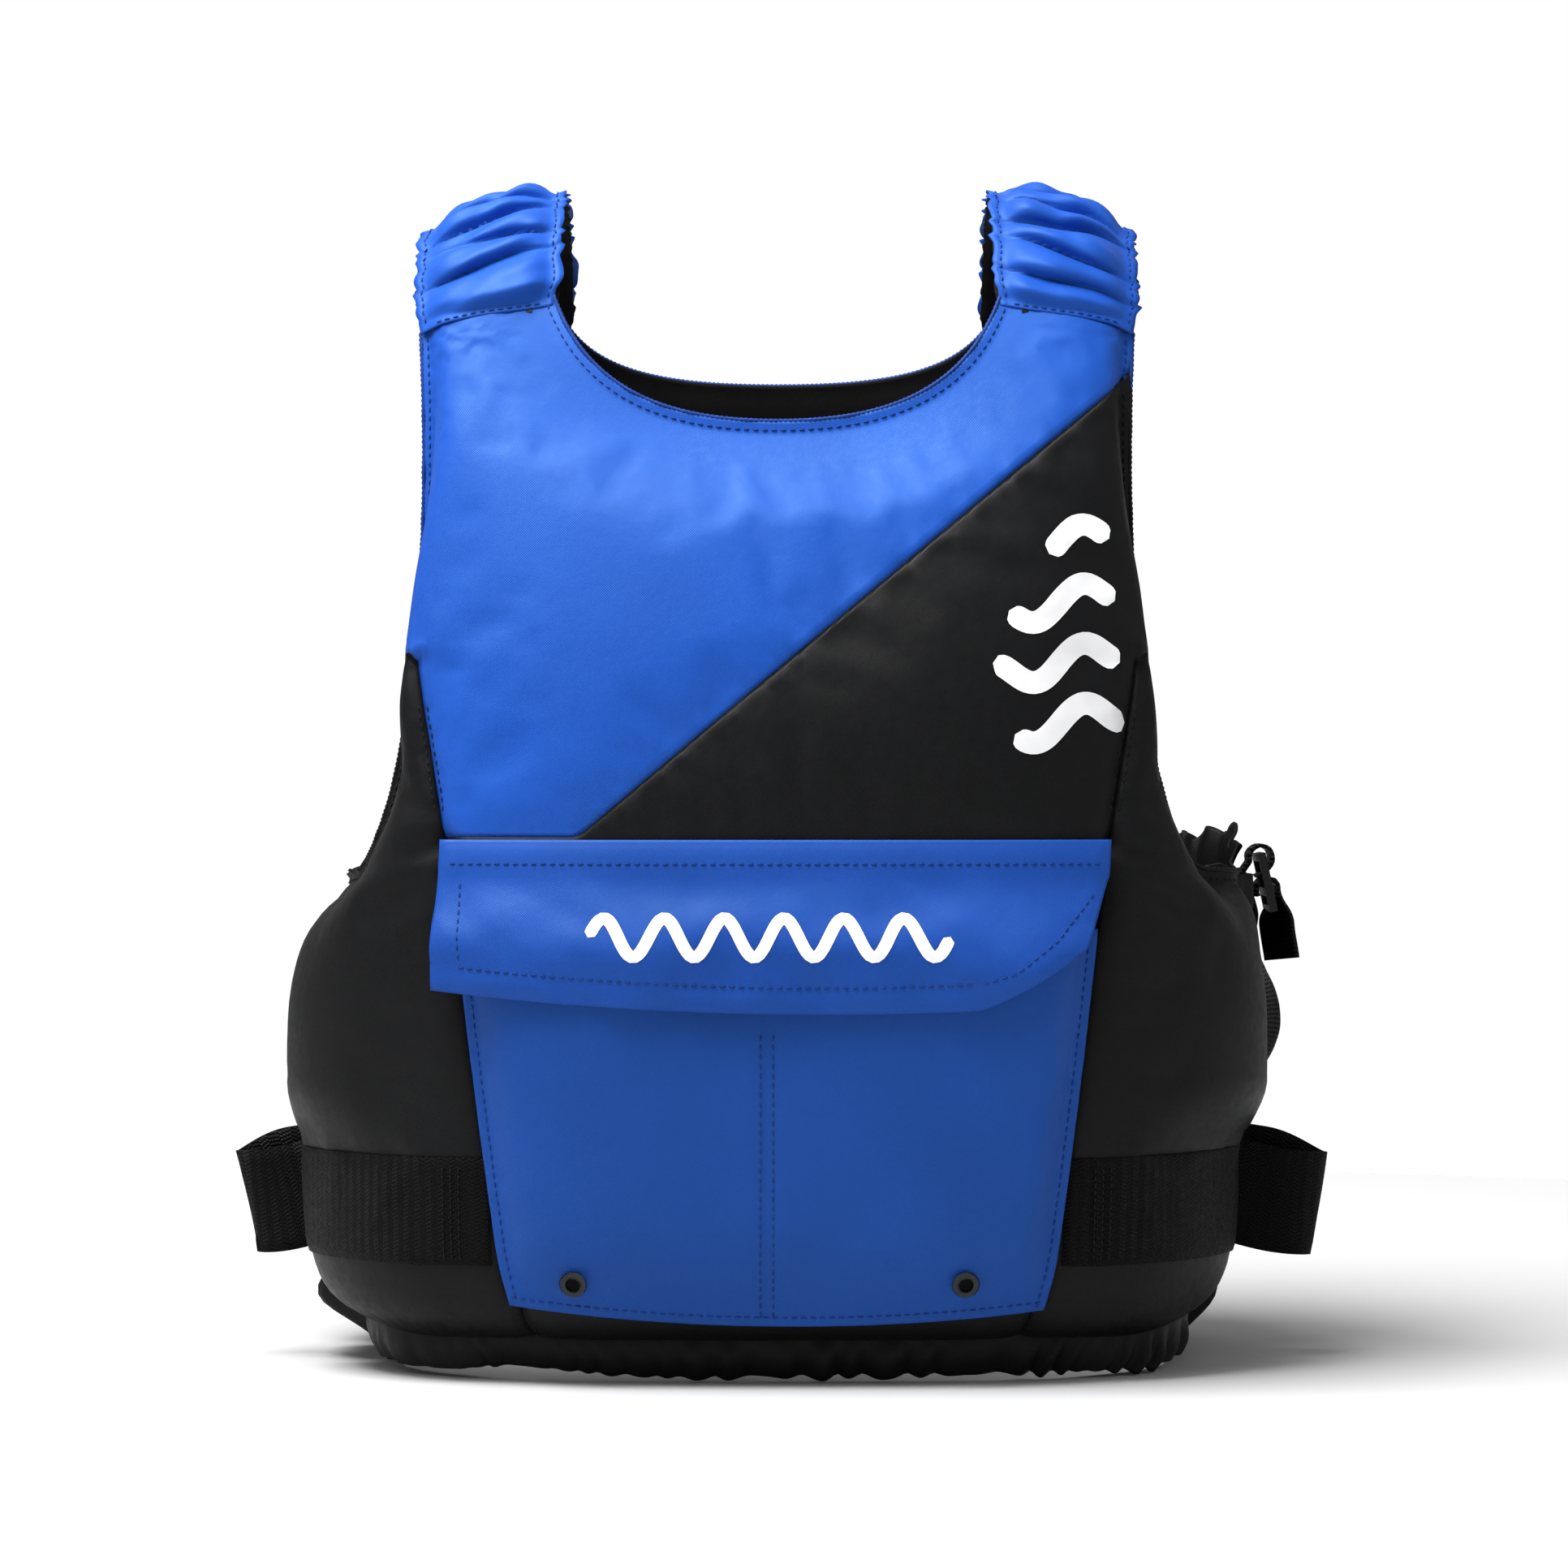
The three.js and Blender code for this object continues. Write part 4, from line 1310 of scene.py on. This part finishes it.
def build_pocket(blue_rows):
    bottom = bezier([(-110.5, 34), (0, 19), (110.5, 32)], 24)
    to_sheet = lambda points: [(run_at(x, z, "front", -2), z) for x, z in points]
    chains = {
        "bottom": to_sheet(bottom),
        "left": to_sheet([(110.5, 32), (133, POCKET_TOP)]),
        "mouth": to_sheet([(133, POCKET_TOP), (-133, POCKET_TOP)]),
        "right": to_sheet([(-133, POCKET_TOP), (-110.5, 34)]),
    }
    pattern = Pattern(chains, (), 4.5, (1.6, 3.4, 5.2, 7, 9, 11.5, 14.5), half=False)

    def depth(run, z):
        gaps = pattern.gaps(run, z)
        rise = 1.0
        for kind, width in (("bottom", 24), ("left", 9), ("right", 13)):
            rise *= slope(gaps[kind], 4.5, width, 4)
        x = x_at(run, z, "front")
        groove = 1.1 * math.exp(-(((x - DIVIDER_X) / 2.4) ** 2)) * ease((gaps["bottom"]) / 12)
        pucker = 0.4 * math.exp(-(((min(gaps["bottom"], gaps["left"], gaps["right"]) - 4) / 6) ** 2))
        buckle = 0.8 * ripple(x / 34, z / 52, 15) + pucker * ripple(run / 5, z / 5, 17)
        edging = 0.5 * (1 - rise) * ripple(run / 6, z / 6, 2)
        return -(2.3 + (POCKET_DEPTH - 3.4) * rise + buckle * rise - groove - edging)

    def place(run, z):
        return torso(run, z, depth(run, z), "front")

    pouch = pattern.cut("pocket_pouch_cloth", lambda r, z: True, place, POCKET_BLUE_SHADED, False, 0.9)
    attach(pouch, "vest", "cover_blue", "pocket_pouch")
    surface = Surface(pouch)
    blue_rows.row(row_on(surface, offset_line(chains["bottom"], 3.6), "front"))
    for kind in ("left", "right"):
        blue_rows.row(row_on(surface, offset_line(chains[kind], 3.6), "front"))
    for x in (DIVIDER_X - 2.6, DIVIDER_X + 2.6):
        blue_rows.row(row_on(surface, to_sheet([(x, 29), (x, 150)]), "front"))

    def inner(u, v):
        z = mix(33, 184, v)
        run = run_at(DIVIDER_X, z, "front")
        return torso(run, z, mix(-0.6, depth(run, z) + 1.2, u), "front")

    divider_weave = lambda u, v: (10 * u, 150 * v)
    divider = grid("pocket_divider_cloth", 4, 50, inner, POCKET_BLUE_SHADED, divider_weave, False, 0.8)
    attach(divider, "vest", "cover_blue", "pocket_divider")
    dress("pocket_loop_tape", PILE)
    for name in SIDES:
        build_eyelet(name, surface)
        dress(f"eyelet_washer_{name}", EYELET)


EYELET_PROFILE = (
    (2.7, -1.2), (2.75, 0.5), (3.0, 1.1), (3.6, 1.5), (4.4, 1.5), (5.2, 1.1), (5.7, 0.5), (5.75, -0.6),
)


def lathe(profile, centre, axis, turns=40):
    """Points and faces of a profile of (radius, height) turned round an axis."""
    across = axis.orthogonal().normalized()
    other = axis.cross(across)
    points = []
    for k in range(turns):
        turn = 2 * math.pi * k / turns
        out = across * math.cos(turn) + other * math.sin(turn)
        points += [centre + out * radius + axis * height for radius, height in profile]
    rows = len(profile)
    faces = []
    for k in range(turns):
        for j in range(rows - 1):
            a, b = k * rows + j, (k + 1) % turns * rows + j
            faces.append([a, b, b + 1, a + 1])
    return points, faces


def build_eyelet(name, surface):
    """A rolled eyelet with its dark bore."""
    low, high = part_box(f"drain_eyelet_{name}")
    middle = (Vector(low) + Vector(high)) / 2 / MM
    centre, axis = surface.settle(middle, (0, -1, 0))
    for part, profile, material in (
        ("rolled", EYELET_PROFILE, EYELET),
        ("bore", ((2.9, 0.35), (2.0, 0.2), (0.01, 0.15)), LINING),
    ):
        made = make_object(f"drain_eyelet_{name}_{part}", *lathe(profile, centre, axis), material)
        attach(made, "vest", "eyelet_metal")
        if part == "rolled":
            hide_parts(f"drain_eyelet_{name}")


# ---- Pocket flap ----
FLAP_HINGE = 215
FLAP_TOP = 227
FLAP_DEPTH = 16.6
FLAP_HALF = 140


def flap_depth(x, z):
    header = min(1, max(0, (FLAP_TOP - z) / (FLAP_TOP - FLAP_HINGE)))
    lift = mix(3, 5, header) + (FLAP_DEPTH - 5) * ease((FLAP_HINGE - z) / 36)
    broad = 1.8 * ripple((x + z) / 34, (z - 0.4 * x) / 24, 31)
    diagonal = 0.9 * ripple((x + 1.3 * z) / 15, (z - x) / 70, 37) + 0.5 * ripple(x / 13, z / 16, 33)
    corner = 3.5 * ease((x - 60) / 60) * ease((200 - z) / 30)
    return -(lift + corner + (broad + diagonal) * ease((FLAP_HINGE + 4 - z) / 26))


def build_flap(flap_rows, header_rows):
    corner = bezier([(84, 157), (104, 164), (128, 182)], 10)
    hanging = bezier([(-FLAP_HALF - 3, 165), (-30, 152), (84, 157)], 20)
    to_sheet = lambda points: [(run_at(x, z, "front", flap_depth(x, z)), z) for x, z in points]
    chains = {
        "bottom": to_sheet(hanging + corner[1:]),
        "left": to_sheet([(128, 182), (FLAP_HALF - 2, 212), (FLAP_HALF - 1, FLAP_TOP)]),
        "top": to_sheet([(FLAP_HALF - 1, FLAP_TOP), (-FLAP_HALF, FLAP_TOP)]),
        "right": to_sheet([(-FLAP_HALF, FLAP_TOP), (-FLAP_HALF - 3, 165)]),
    }
    pattern = Pattern(chains, (), 4.0, (1.2, 2.6, 4.5, 7, 10), half=False)

    def place(run, z):
        x = x_at(run, z, "front", -FLAP_DEPTH)
        gaps = pattern.gaps(run, z)
        edge = min(gaps.values())
        puffed = 0.8 * ease(edge / 5)
        stitched = math.exp(-(((gaps["bottom"] - 11) / 1.6) ** 2))
        stitched += math.exp(-(((gaps["right"] - 9) / 1.6) ** 2))
        return torso(run, z, flap_depth(x, z) + 0.8 - puffed + 0.5 * min(1, stitched), "front")

    flap = pattern.cut("pocket_flap_cloth", lambda r, z: True, place, FLAP_BLUE_SHADED, False, 1.5)
    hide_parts("pocket_flap", "flap_header")
    surface = Surface(flap)
    flap_rows.row(row_on(surface, to_sheet([(-131, 177), (-131, 211)]), "front"))
    inner = [(x, z + 11) for x, z in hanging[1:]]
    flap_rows.row(row_on(surface, to_sheet(inner), "front"))
    flap_rows.row(row_on(surface, to_sheet([(84, 168), (98, 172), (116, 186), (131, 205)]), "front"))
    header_rows.row(row_on(surface, to_sheet([(-136, 217), (-60, 217), (60, 217), (135, 217)]), "front"))
    draw_wave(surface)
    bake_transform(flap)
    dress("flap_hook_tape", PILE)


# ---- Printed graphics: plain water ripples ----
def printed_band(name, surface, line, width, body):
    """A printed stripe along a line of (x, z), laid on the cloth."""
    centre = resample(line, 1.6)
    points = []
    for i, p in enumerate(centre):
        turn = centre[min(i + 1, len(centre) - 1)] - centre[max(i - 1, 0)]
        normal = Vector((-turn.y, turn.x)).normalized()
        end = min(i, len(centre) - 1 - i) * 1.6
        half = width / 2 * math.sqrt(max(0.0, 1 - max(0.0, 1 - 2 * end / width) ** 2))
        for k in range(5):
            x, z = p + normal * half * (k / 2 - 1)
            run = run_at(x, z, "front")
            hit, normal_out = surface.settle(torso(run, z, 2, "front"), outward_at(run, z, "front"))
            points.append(hit + normal_out * 0.22)
    made = make_object(name, points, grid_faces(5, len(centre), True), PRINT, smooth=True)
    attach(made, body, "cover_blue")
    return made


def wave_line(x0, x1, z, swing, pitch, rise=0.0):
    steps = int((x1 - x0) / 1.5)
    line = []
    for i in range(steps + 1):
        x = mix(x0, x1, i / steps)
        line.append((x, z + rise * (x - x0) + swing * math.sin(2 * math.pi * (x - x0) / pitch)))
    return line


def draw_wave(surface):
    printed_band("flap_ripple_print", surface, wave_line(-76, 70, 187, 8, 24.3), 5, "pocket_flap")


def armhole_x(z):
    """The x of the front armhole's edge at a height."""
    upper = [p for p in armhole_line() if p[1] > 230]
    rows = sorted((p[1], p[0]) for p in upper)
    return look_up(rows, 0, z)[1]


def build_prints(surface):
    for k, (z, x0) in enumerate(((352, 113), (327, 96), (302, 89), (277, 98))):
        steps = int(158 - x0)
        swing = [(x0 + i, z + 0.22 * (x0 + i - 125) + 6 * math.sin((x0 + i) / 6.2)) for i in range(steps)]
        line = [p for p in swing if p[0] < armhole_x(p[1]) - 11]
        printed_band(f"chest_ripple_print_{k}", surface, line, 9.5, "vest")


# ---- Webbing ----
BELT_LOW = 50
BELT_HIGH = 95
BELT_END = 119


def belt(name, node, face, start, end, surface):
    """Webbing laid on the panels between two runs."""
    count = max(8, round(abs(end - start) / 3))

    def place(u, v):
        run, z = mix(start, end, u), mix(BELT_LOW, BELT_HIGH, v)
        middle = (BELT_LOW + BELT_HIGH) / 2
        outward = outward_at(run, middle, face)
        hits = [surface.settle(torso(run + k, mix(middle, z, 0.96), 4, face), outward)[0] for k in (-7, 0, 7)]
        hit = hits[1] + outward * max(0, (sum(hits, Vector()) / 3 - hits[1]).dot(outward))
        edge = 0.5 * math.exp(-((min(v, 1 - v) * 45 / 2) ** 2))
        sway = 0.5 * ripple(run / 30, 3, 51)
        return Vector((hit.x, hit.y, z + sway)) + outward * (1.5 - edge)

    weave = lambda u, v: (abs(end - start) * u, 45 * v)
    made = grid(name, count, 16, place, WEBBING, weave, face == "back", 1.5)
    attach(made, "vest", "webbing", node)
    return made


def build_belts(surfaces, black_rows):
    for name, side in SIDES.items():
        inner, outer = run_at(BELT_END, 72, "front"), EDGE_RUN["front"] - 3
        ends = (inner, outer) if side > 0 else (-outer, -inner)
        made = belt(f"waist_belt_{name}_webbing", f"waist_belt_{name}", "front", *ends, surfaces["front"])
        surface = Surface(made)
        for offset in (13, 16.5, 20):
            line = [(side * (inner + offset), z) for z in (BELT_LOW + 2, 72, BELT_HIGH - 2)]
            black_rows.row(row_on(surface, line, "front"), 2.2, 3.0)
    reach = EDGE_RUN["back"] - 3
    made = belt("waist_belt_back_webbing", "waist_belt_back", "back", -reach, reach, surfaces["back"])
    surface = Surface(made)
    for run in (-110, 0, 110):
        black_rows.row(row_on(surface, [(run, z) for z in (BELT_LOW + 3, 72, BELT_HIGH - 3)], "back"))


def ribbon(name, path, across, width, thickness, material, weave_start=0.0, wobble=0.0, seed=0.0):
    """A flat strap along a path; across(i) is the direction of its width at point i."""
    line = [Vector(p) for p in path]
    count = len(line)
    points = []
    cloth = []
    distance = weave_start
    cells = 8
    for i, p in enumerate(line):
        if i:
            distance += (p - line[i - 1]).length
        along = (line[min(i + 1, count - 1)] - line[max(i - 1, 0)]).normalized()
        way = Vector(across(i / (count - 1)))
        way = (way - along * way.dot(along)).normalized()
        out = along.cross(way)
        for k in range(cells + 1):
            v = k / cells - 0.5
            edge = 0.25 * (abs(v) > 0.45)
            lift = wobble * ripple(distance / 9, v * 2, seed)
            points.append(p + way * (v * width) + out * (thickness / 2 - edge + lift))
            cloth.append((distance, v * width))
    made = make_object(name, points, grid_faces(cells + 1, count), material, cloth)
    return thicken(made, thickness)


LOOP_ROOT = (203.4, -14.0)
LOOP_DROOP = math.radians(9)
LOOP_LEAN = {"left": 1.1, "right": 1.5}


def build_pull_loops():
    for name, side in SIDES.items():
        low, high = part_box(f"pull_loop_{name}")
        root_x, root_y = LOOP_ROOT
        run = (high[0] if side > 0 else -low[0]) / MM - root_x - 1.6
        middle = (BELT_LOW + BELT_HIGH) / 2
        curve = [(-15, -9), (-6, -8.5), (run * 0.4, -11), (run * 0.8, -8.5), (run, -3), (run + 0.5, 0)]
        front = bezier(curve, 34)
        back = bezier([(run + 0.5, 0), (run, 3), (run * 0.7, 8), (run * 0.3, 9), (-6, 6), (-12, 3)], 30)
        outline = resample(front + back[1:], 1.3)
        fold = max(range(len(outline)), key=lambda i: outline[i][0])
        path = []
        for i, (r, y) in enumerate(outline):
            lift = 6.5 * ease((run - r) / run * 1.3) if i > fold else 0
            sag = 1.2 * math.sin(math.pi * min(1, max(0, r / run))) if i <= fold else 0
            height = -max(r, -6) * math.sin(LOOP_DROOP) + lift - sag
            path.append((side * (root_x + r * math.cos(LOOP_DROOP)), root_y + y, middle + height))

        def across(t, side=side, lean=LOOP_LEAN[name]):
            tilt = LOOP_DROOP * lean
            return (side * math.sin(tilt), 0, math.cos(tilt))

        loop = ribbon(f"pull_loop_{name}_webbing", path, across, 45, 1.5, WEBBING, 0, 0.3, 70 + side)
        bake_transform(loop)
        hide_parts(f"pull_loop_{name}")


# ---- Side strap: the route of the webbing through its buckle, as the CAD has it ----
LOCK_X = 212.0
LOCK_Z = 218.0
LOCK_LEAN = math.radians(12)
STRAP_Y = 4.0


def on_lock(u, w):
    return (
        LOCK_X + u * math.sin(LOCK_LEAN) + w * math.cos(LOCK_LEAN),
        STRAP_Y,
        LOCK_Z - u * math.cos(LOCK_LEAN) + w * math.sin(LOCK_LEAN),
    )


def smooth_path(points, step=1.2):
    """A Catmull-Rom line through the points."""
    line = [Vector(p) for p in points]
    ends = [line[0] * 2 - line[1]] + line + [line[-1] * 2 - line[-2]]
    made = []
    for a, b, c, d in zip(ends, ends[1:], ends[2:], ends[3:]):
        count = max(2, round((c - b).length / step))
        for k in range(count):
            t = k / count
            square = (2 * a - 5 * b + 4 * c - d) * t**2
            cube = (3 * b - a - 3 * c + d) * t**3
            made.append(0.5 * (2 * b + (c - a) * t + square + cube))
    return made + [line[-1]]


def build_side_strap():
    level = lambda t: (0, 1, 0)
    anchor = [(200.4, STRAP_Y, 184), (201, STRAP_Y, 198), (204.8, STRAP_Y, 210)]
    over_bar = ((1.5, -4.2), (-2, -3.4), (-3.8, 0), (-2, 3.4), (2.5, 3.4), (5.5, 0), (7, -3.6))
    path = smooth_path(anchor + [on_lock(*p) for p in over_bar])
    made = ribbon("buckle_anchor_webbing", path, level, 25, 1.4, RIBBED)
    attach(made, "vest", "webbing", "buckle_anchor")
    slack = [(199, 104), (202, 113), (210.5, 127), (216, 146), (214.5, 167), (210.5, 182)]
    path = smooth_path([(x, STRAP_Y, z) for x, z in slack] + [on_lock(24, -6.3), on_lock(14, -6.3)])
    turned = lambda t: (0.7 * math.sin(math.pi * min(1, t * 1.25)) ** 2 if t < 0.8 else 0, 1, 0)
    made = ribbon("side_strap_webbing", path, turned, 24, 1.4, RIBBED, 0, 0.5, 81)
    attach(made, "vest", "webbing", "side_strap")
    bend = ((16.4, -3.6), (13.4, -3.6), (11.3, -1.6), (11.3, 1.6), (13.4, 3.6))
    hook = (*bend, (22, 1.8), (32, 0.2), (46, -0.6))
    twist = lambda t: (-0.62 * ease((t - 0.3) * 3), 1, 0)
    path = smooth_path([on_lock(*p) for p in hook])
    made = ribbon("strap_tail_webbing", path, twist, 24, 1.4, RIBBED, 0, 0.2, 85)
    attach(made, "strap_tail", "webbing", "strap_tail")
    dress("ladder_lock", PLASTIC)


# ---- Camera, light and floor ----
CAMERA_X = 3.0
CAMERA_HEIGHT = 250.0
CAMERA_DISTANCE = 2200.0
CHEST_Y = -155.0
VIEW_WIDTH = 643.0


FLOOR_RADIUS = 1150.0


def floor_material():
    """A pale matt floor that gets whiter away from the middle."""
    material, shader = new_material("floor_pale", (0.6, 0.6, 0.6), 0.9)
    shader.inputs["Specular IOR Level"].default_value = 0.0
    make = Nodes(material)
    place = make.add("ShaderNodeTexCoord").outputs["Object"]
    distance = make.add("ShaderNodeVectorMath", {"operation": "LENGTH"}, i0=place).outputs["Value"]
    white = make.add("ShaderNodeMapRange", i0=distance, i1=0.2, i2=FLOOR_RADIUS * MM, i3=0.6, i4=0.98)
    make.link(white.outputs[0], shader.inputs["Base Color"])
    return material


def studio_world():
    """A white surround that shows brighter than it lights."""
    world = bpy.data.worlds.new("studio")
    world.use_nodes = True
    make = Nodes(world)
    seen = make.add("ShaderNodeLightPath").outputs["Is Camera Ray"]
    strength = make.add("ShaderNodeMapRange", i0=seen, i1=0.0, i2=1.0, i3=0.34, i4=1.0)
    back = world.node_tree.nodes["Background"]
    back.inputs["Color"].default_value = (1, 1, 1, 1)
    make.link(strength.outputs[0], back.inputs["Strength"])
    return world


def build_stage():
    camera = bpy.data.cameras.new("camera")
    camera.sensor_width = 36
    camera.lens = 36 * CAMERA_DISTANCE / VIEW_WIDTH
    camera.clip_end = 100
    placed = bpy.data.objects.new("camera", camera)
    placed.location = Vector((CAMERA_X, CHEST_Y - CAMERA_DISTANCE, CAMERA_HEIGHT)) * MM
    placed.rotation_euler = (math.pi / 2, 0, 0)
    bpy.context.scene.collection.objects.link(placed)
    bpy.context.scene.camera = placed
    rings = [(FLOOR_RADIUS * k / 12, 0) for k in range(13)]
    points, faces = lathe(rings, Vector((0, 0, 0)), Vector((0, 0, 1)), 96)
    floor = make_object("floor", points, faces, floor_material(), smooth=False)
    floor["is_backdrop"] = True
    bpy.context.scene.world = studio_world()
    bpy.context.scene.view_settings.view_transform = "Standard"
    lamps = (
        ("key", (-0.8, -1.5, 2.3), 1.2, 12),
        ("top", (-0.48, -0.36, 1.6), 1.0, 50),
        ("right", (2.4, -0.6, 1.0), 1.2, 4),
        ("left", (-2.4, -0.6, 1.0), 1.2, 2),
    )
    for name, place, size, power in lamps:
        light = bpy.data.lights.new(name, "AREA")
        light.size = size
        light.energy = power
        lamp = bpy.data.objects.new(name, light)
        lamp.location = place
        lamp.rotation_euler = (Vector((0, 0, 0.25)) - Vector(place)).to_track_quat("-Z", "Y").to_euler()
        bpy.context.scene.collection.objects.link(lamp)


build_stage()
covers = build_panels()
surfaces = {
    "front": Surface(*(made for node, made in covers.items() if node.startswith("front"))),
    "back": Surface(*(made for node, made in covers.items() if node.startswith("back"))),
}
blue_stitches = Stitching("stitching_blue", BLUE_THREAD, "vest", "cover_blue")
black_stitches = Stitching("stitching_black", BLACK_THREAD, "vest", "cover_black")
flap_stitches = Stitching("stitching_flap", BLUE_THREAD, "pocket_flap", "cover_blue")
build_edges(surfaces, blue_stitches, black_stitches)
build_sleeves(blue_stitches)
build_sides()
build_hems()
build_pocket(blue_stitches)
build_flap(flap_stitches, blue_stitches)
build_prints(surfaces["front"])
build_belts(surfaces, black_stitches)
build_pull_loops()
build_side_strap()
for stitches in (blue_stitches, black_stitches, flap_stitches):
    stitches.finish()

boxes = [[list(corner) for corner in box] for box in (CAD_BOX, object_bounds())]
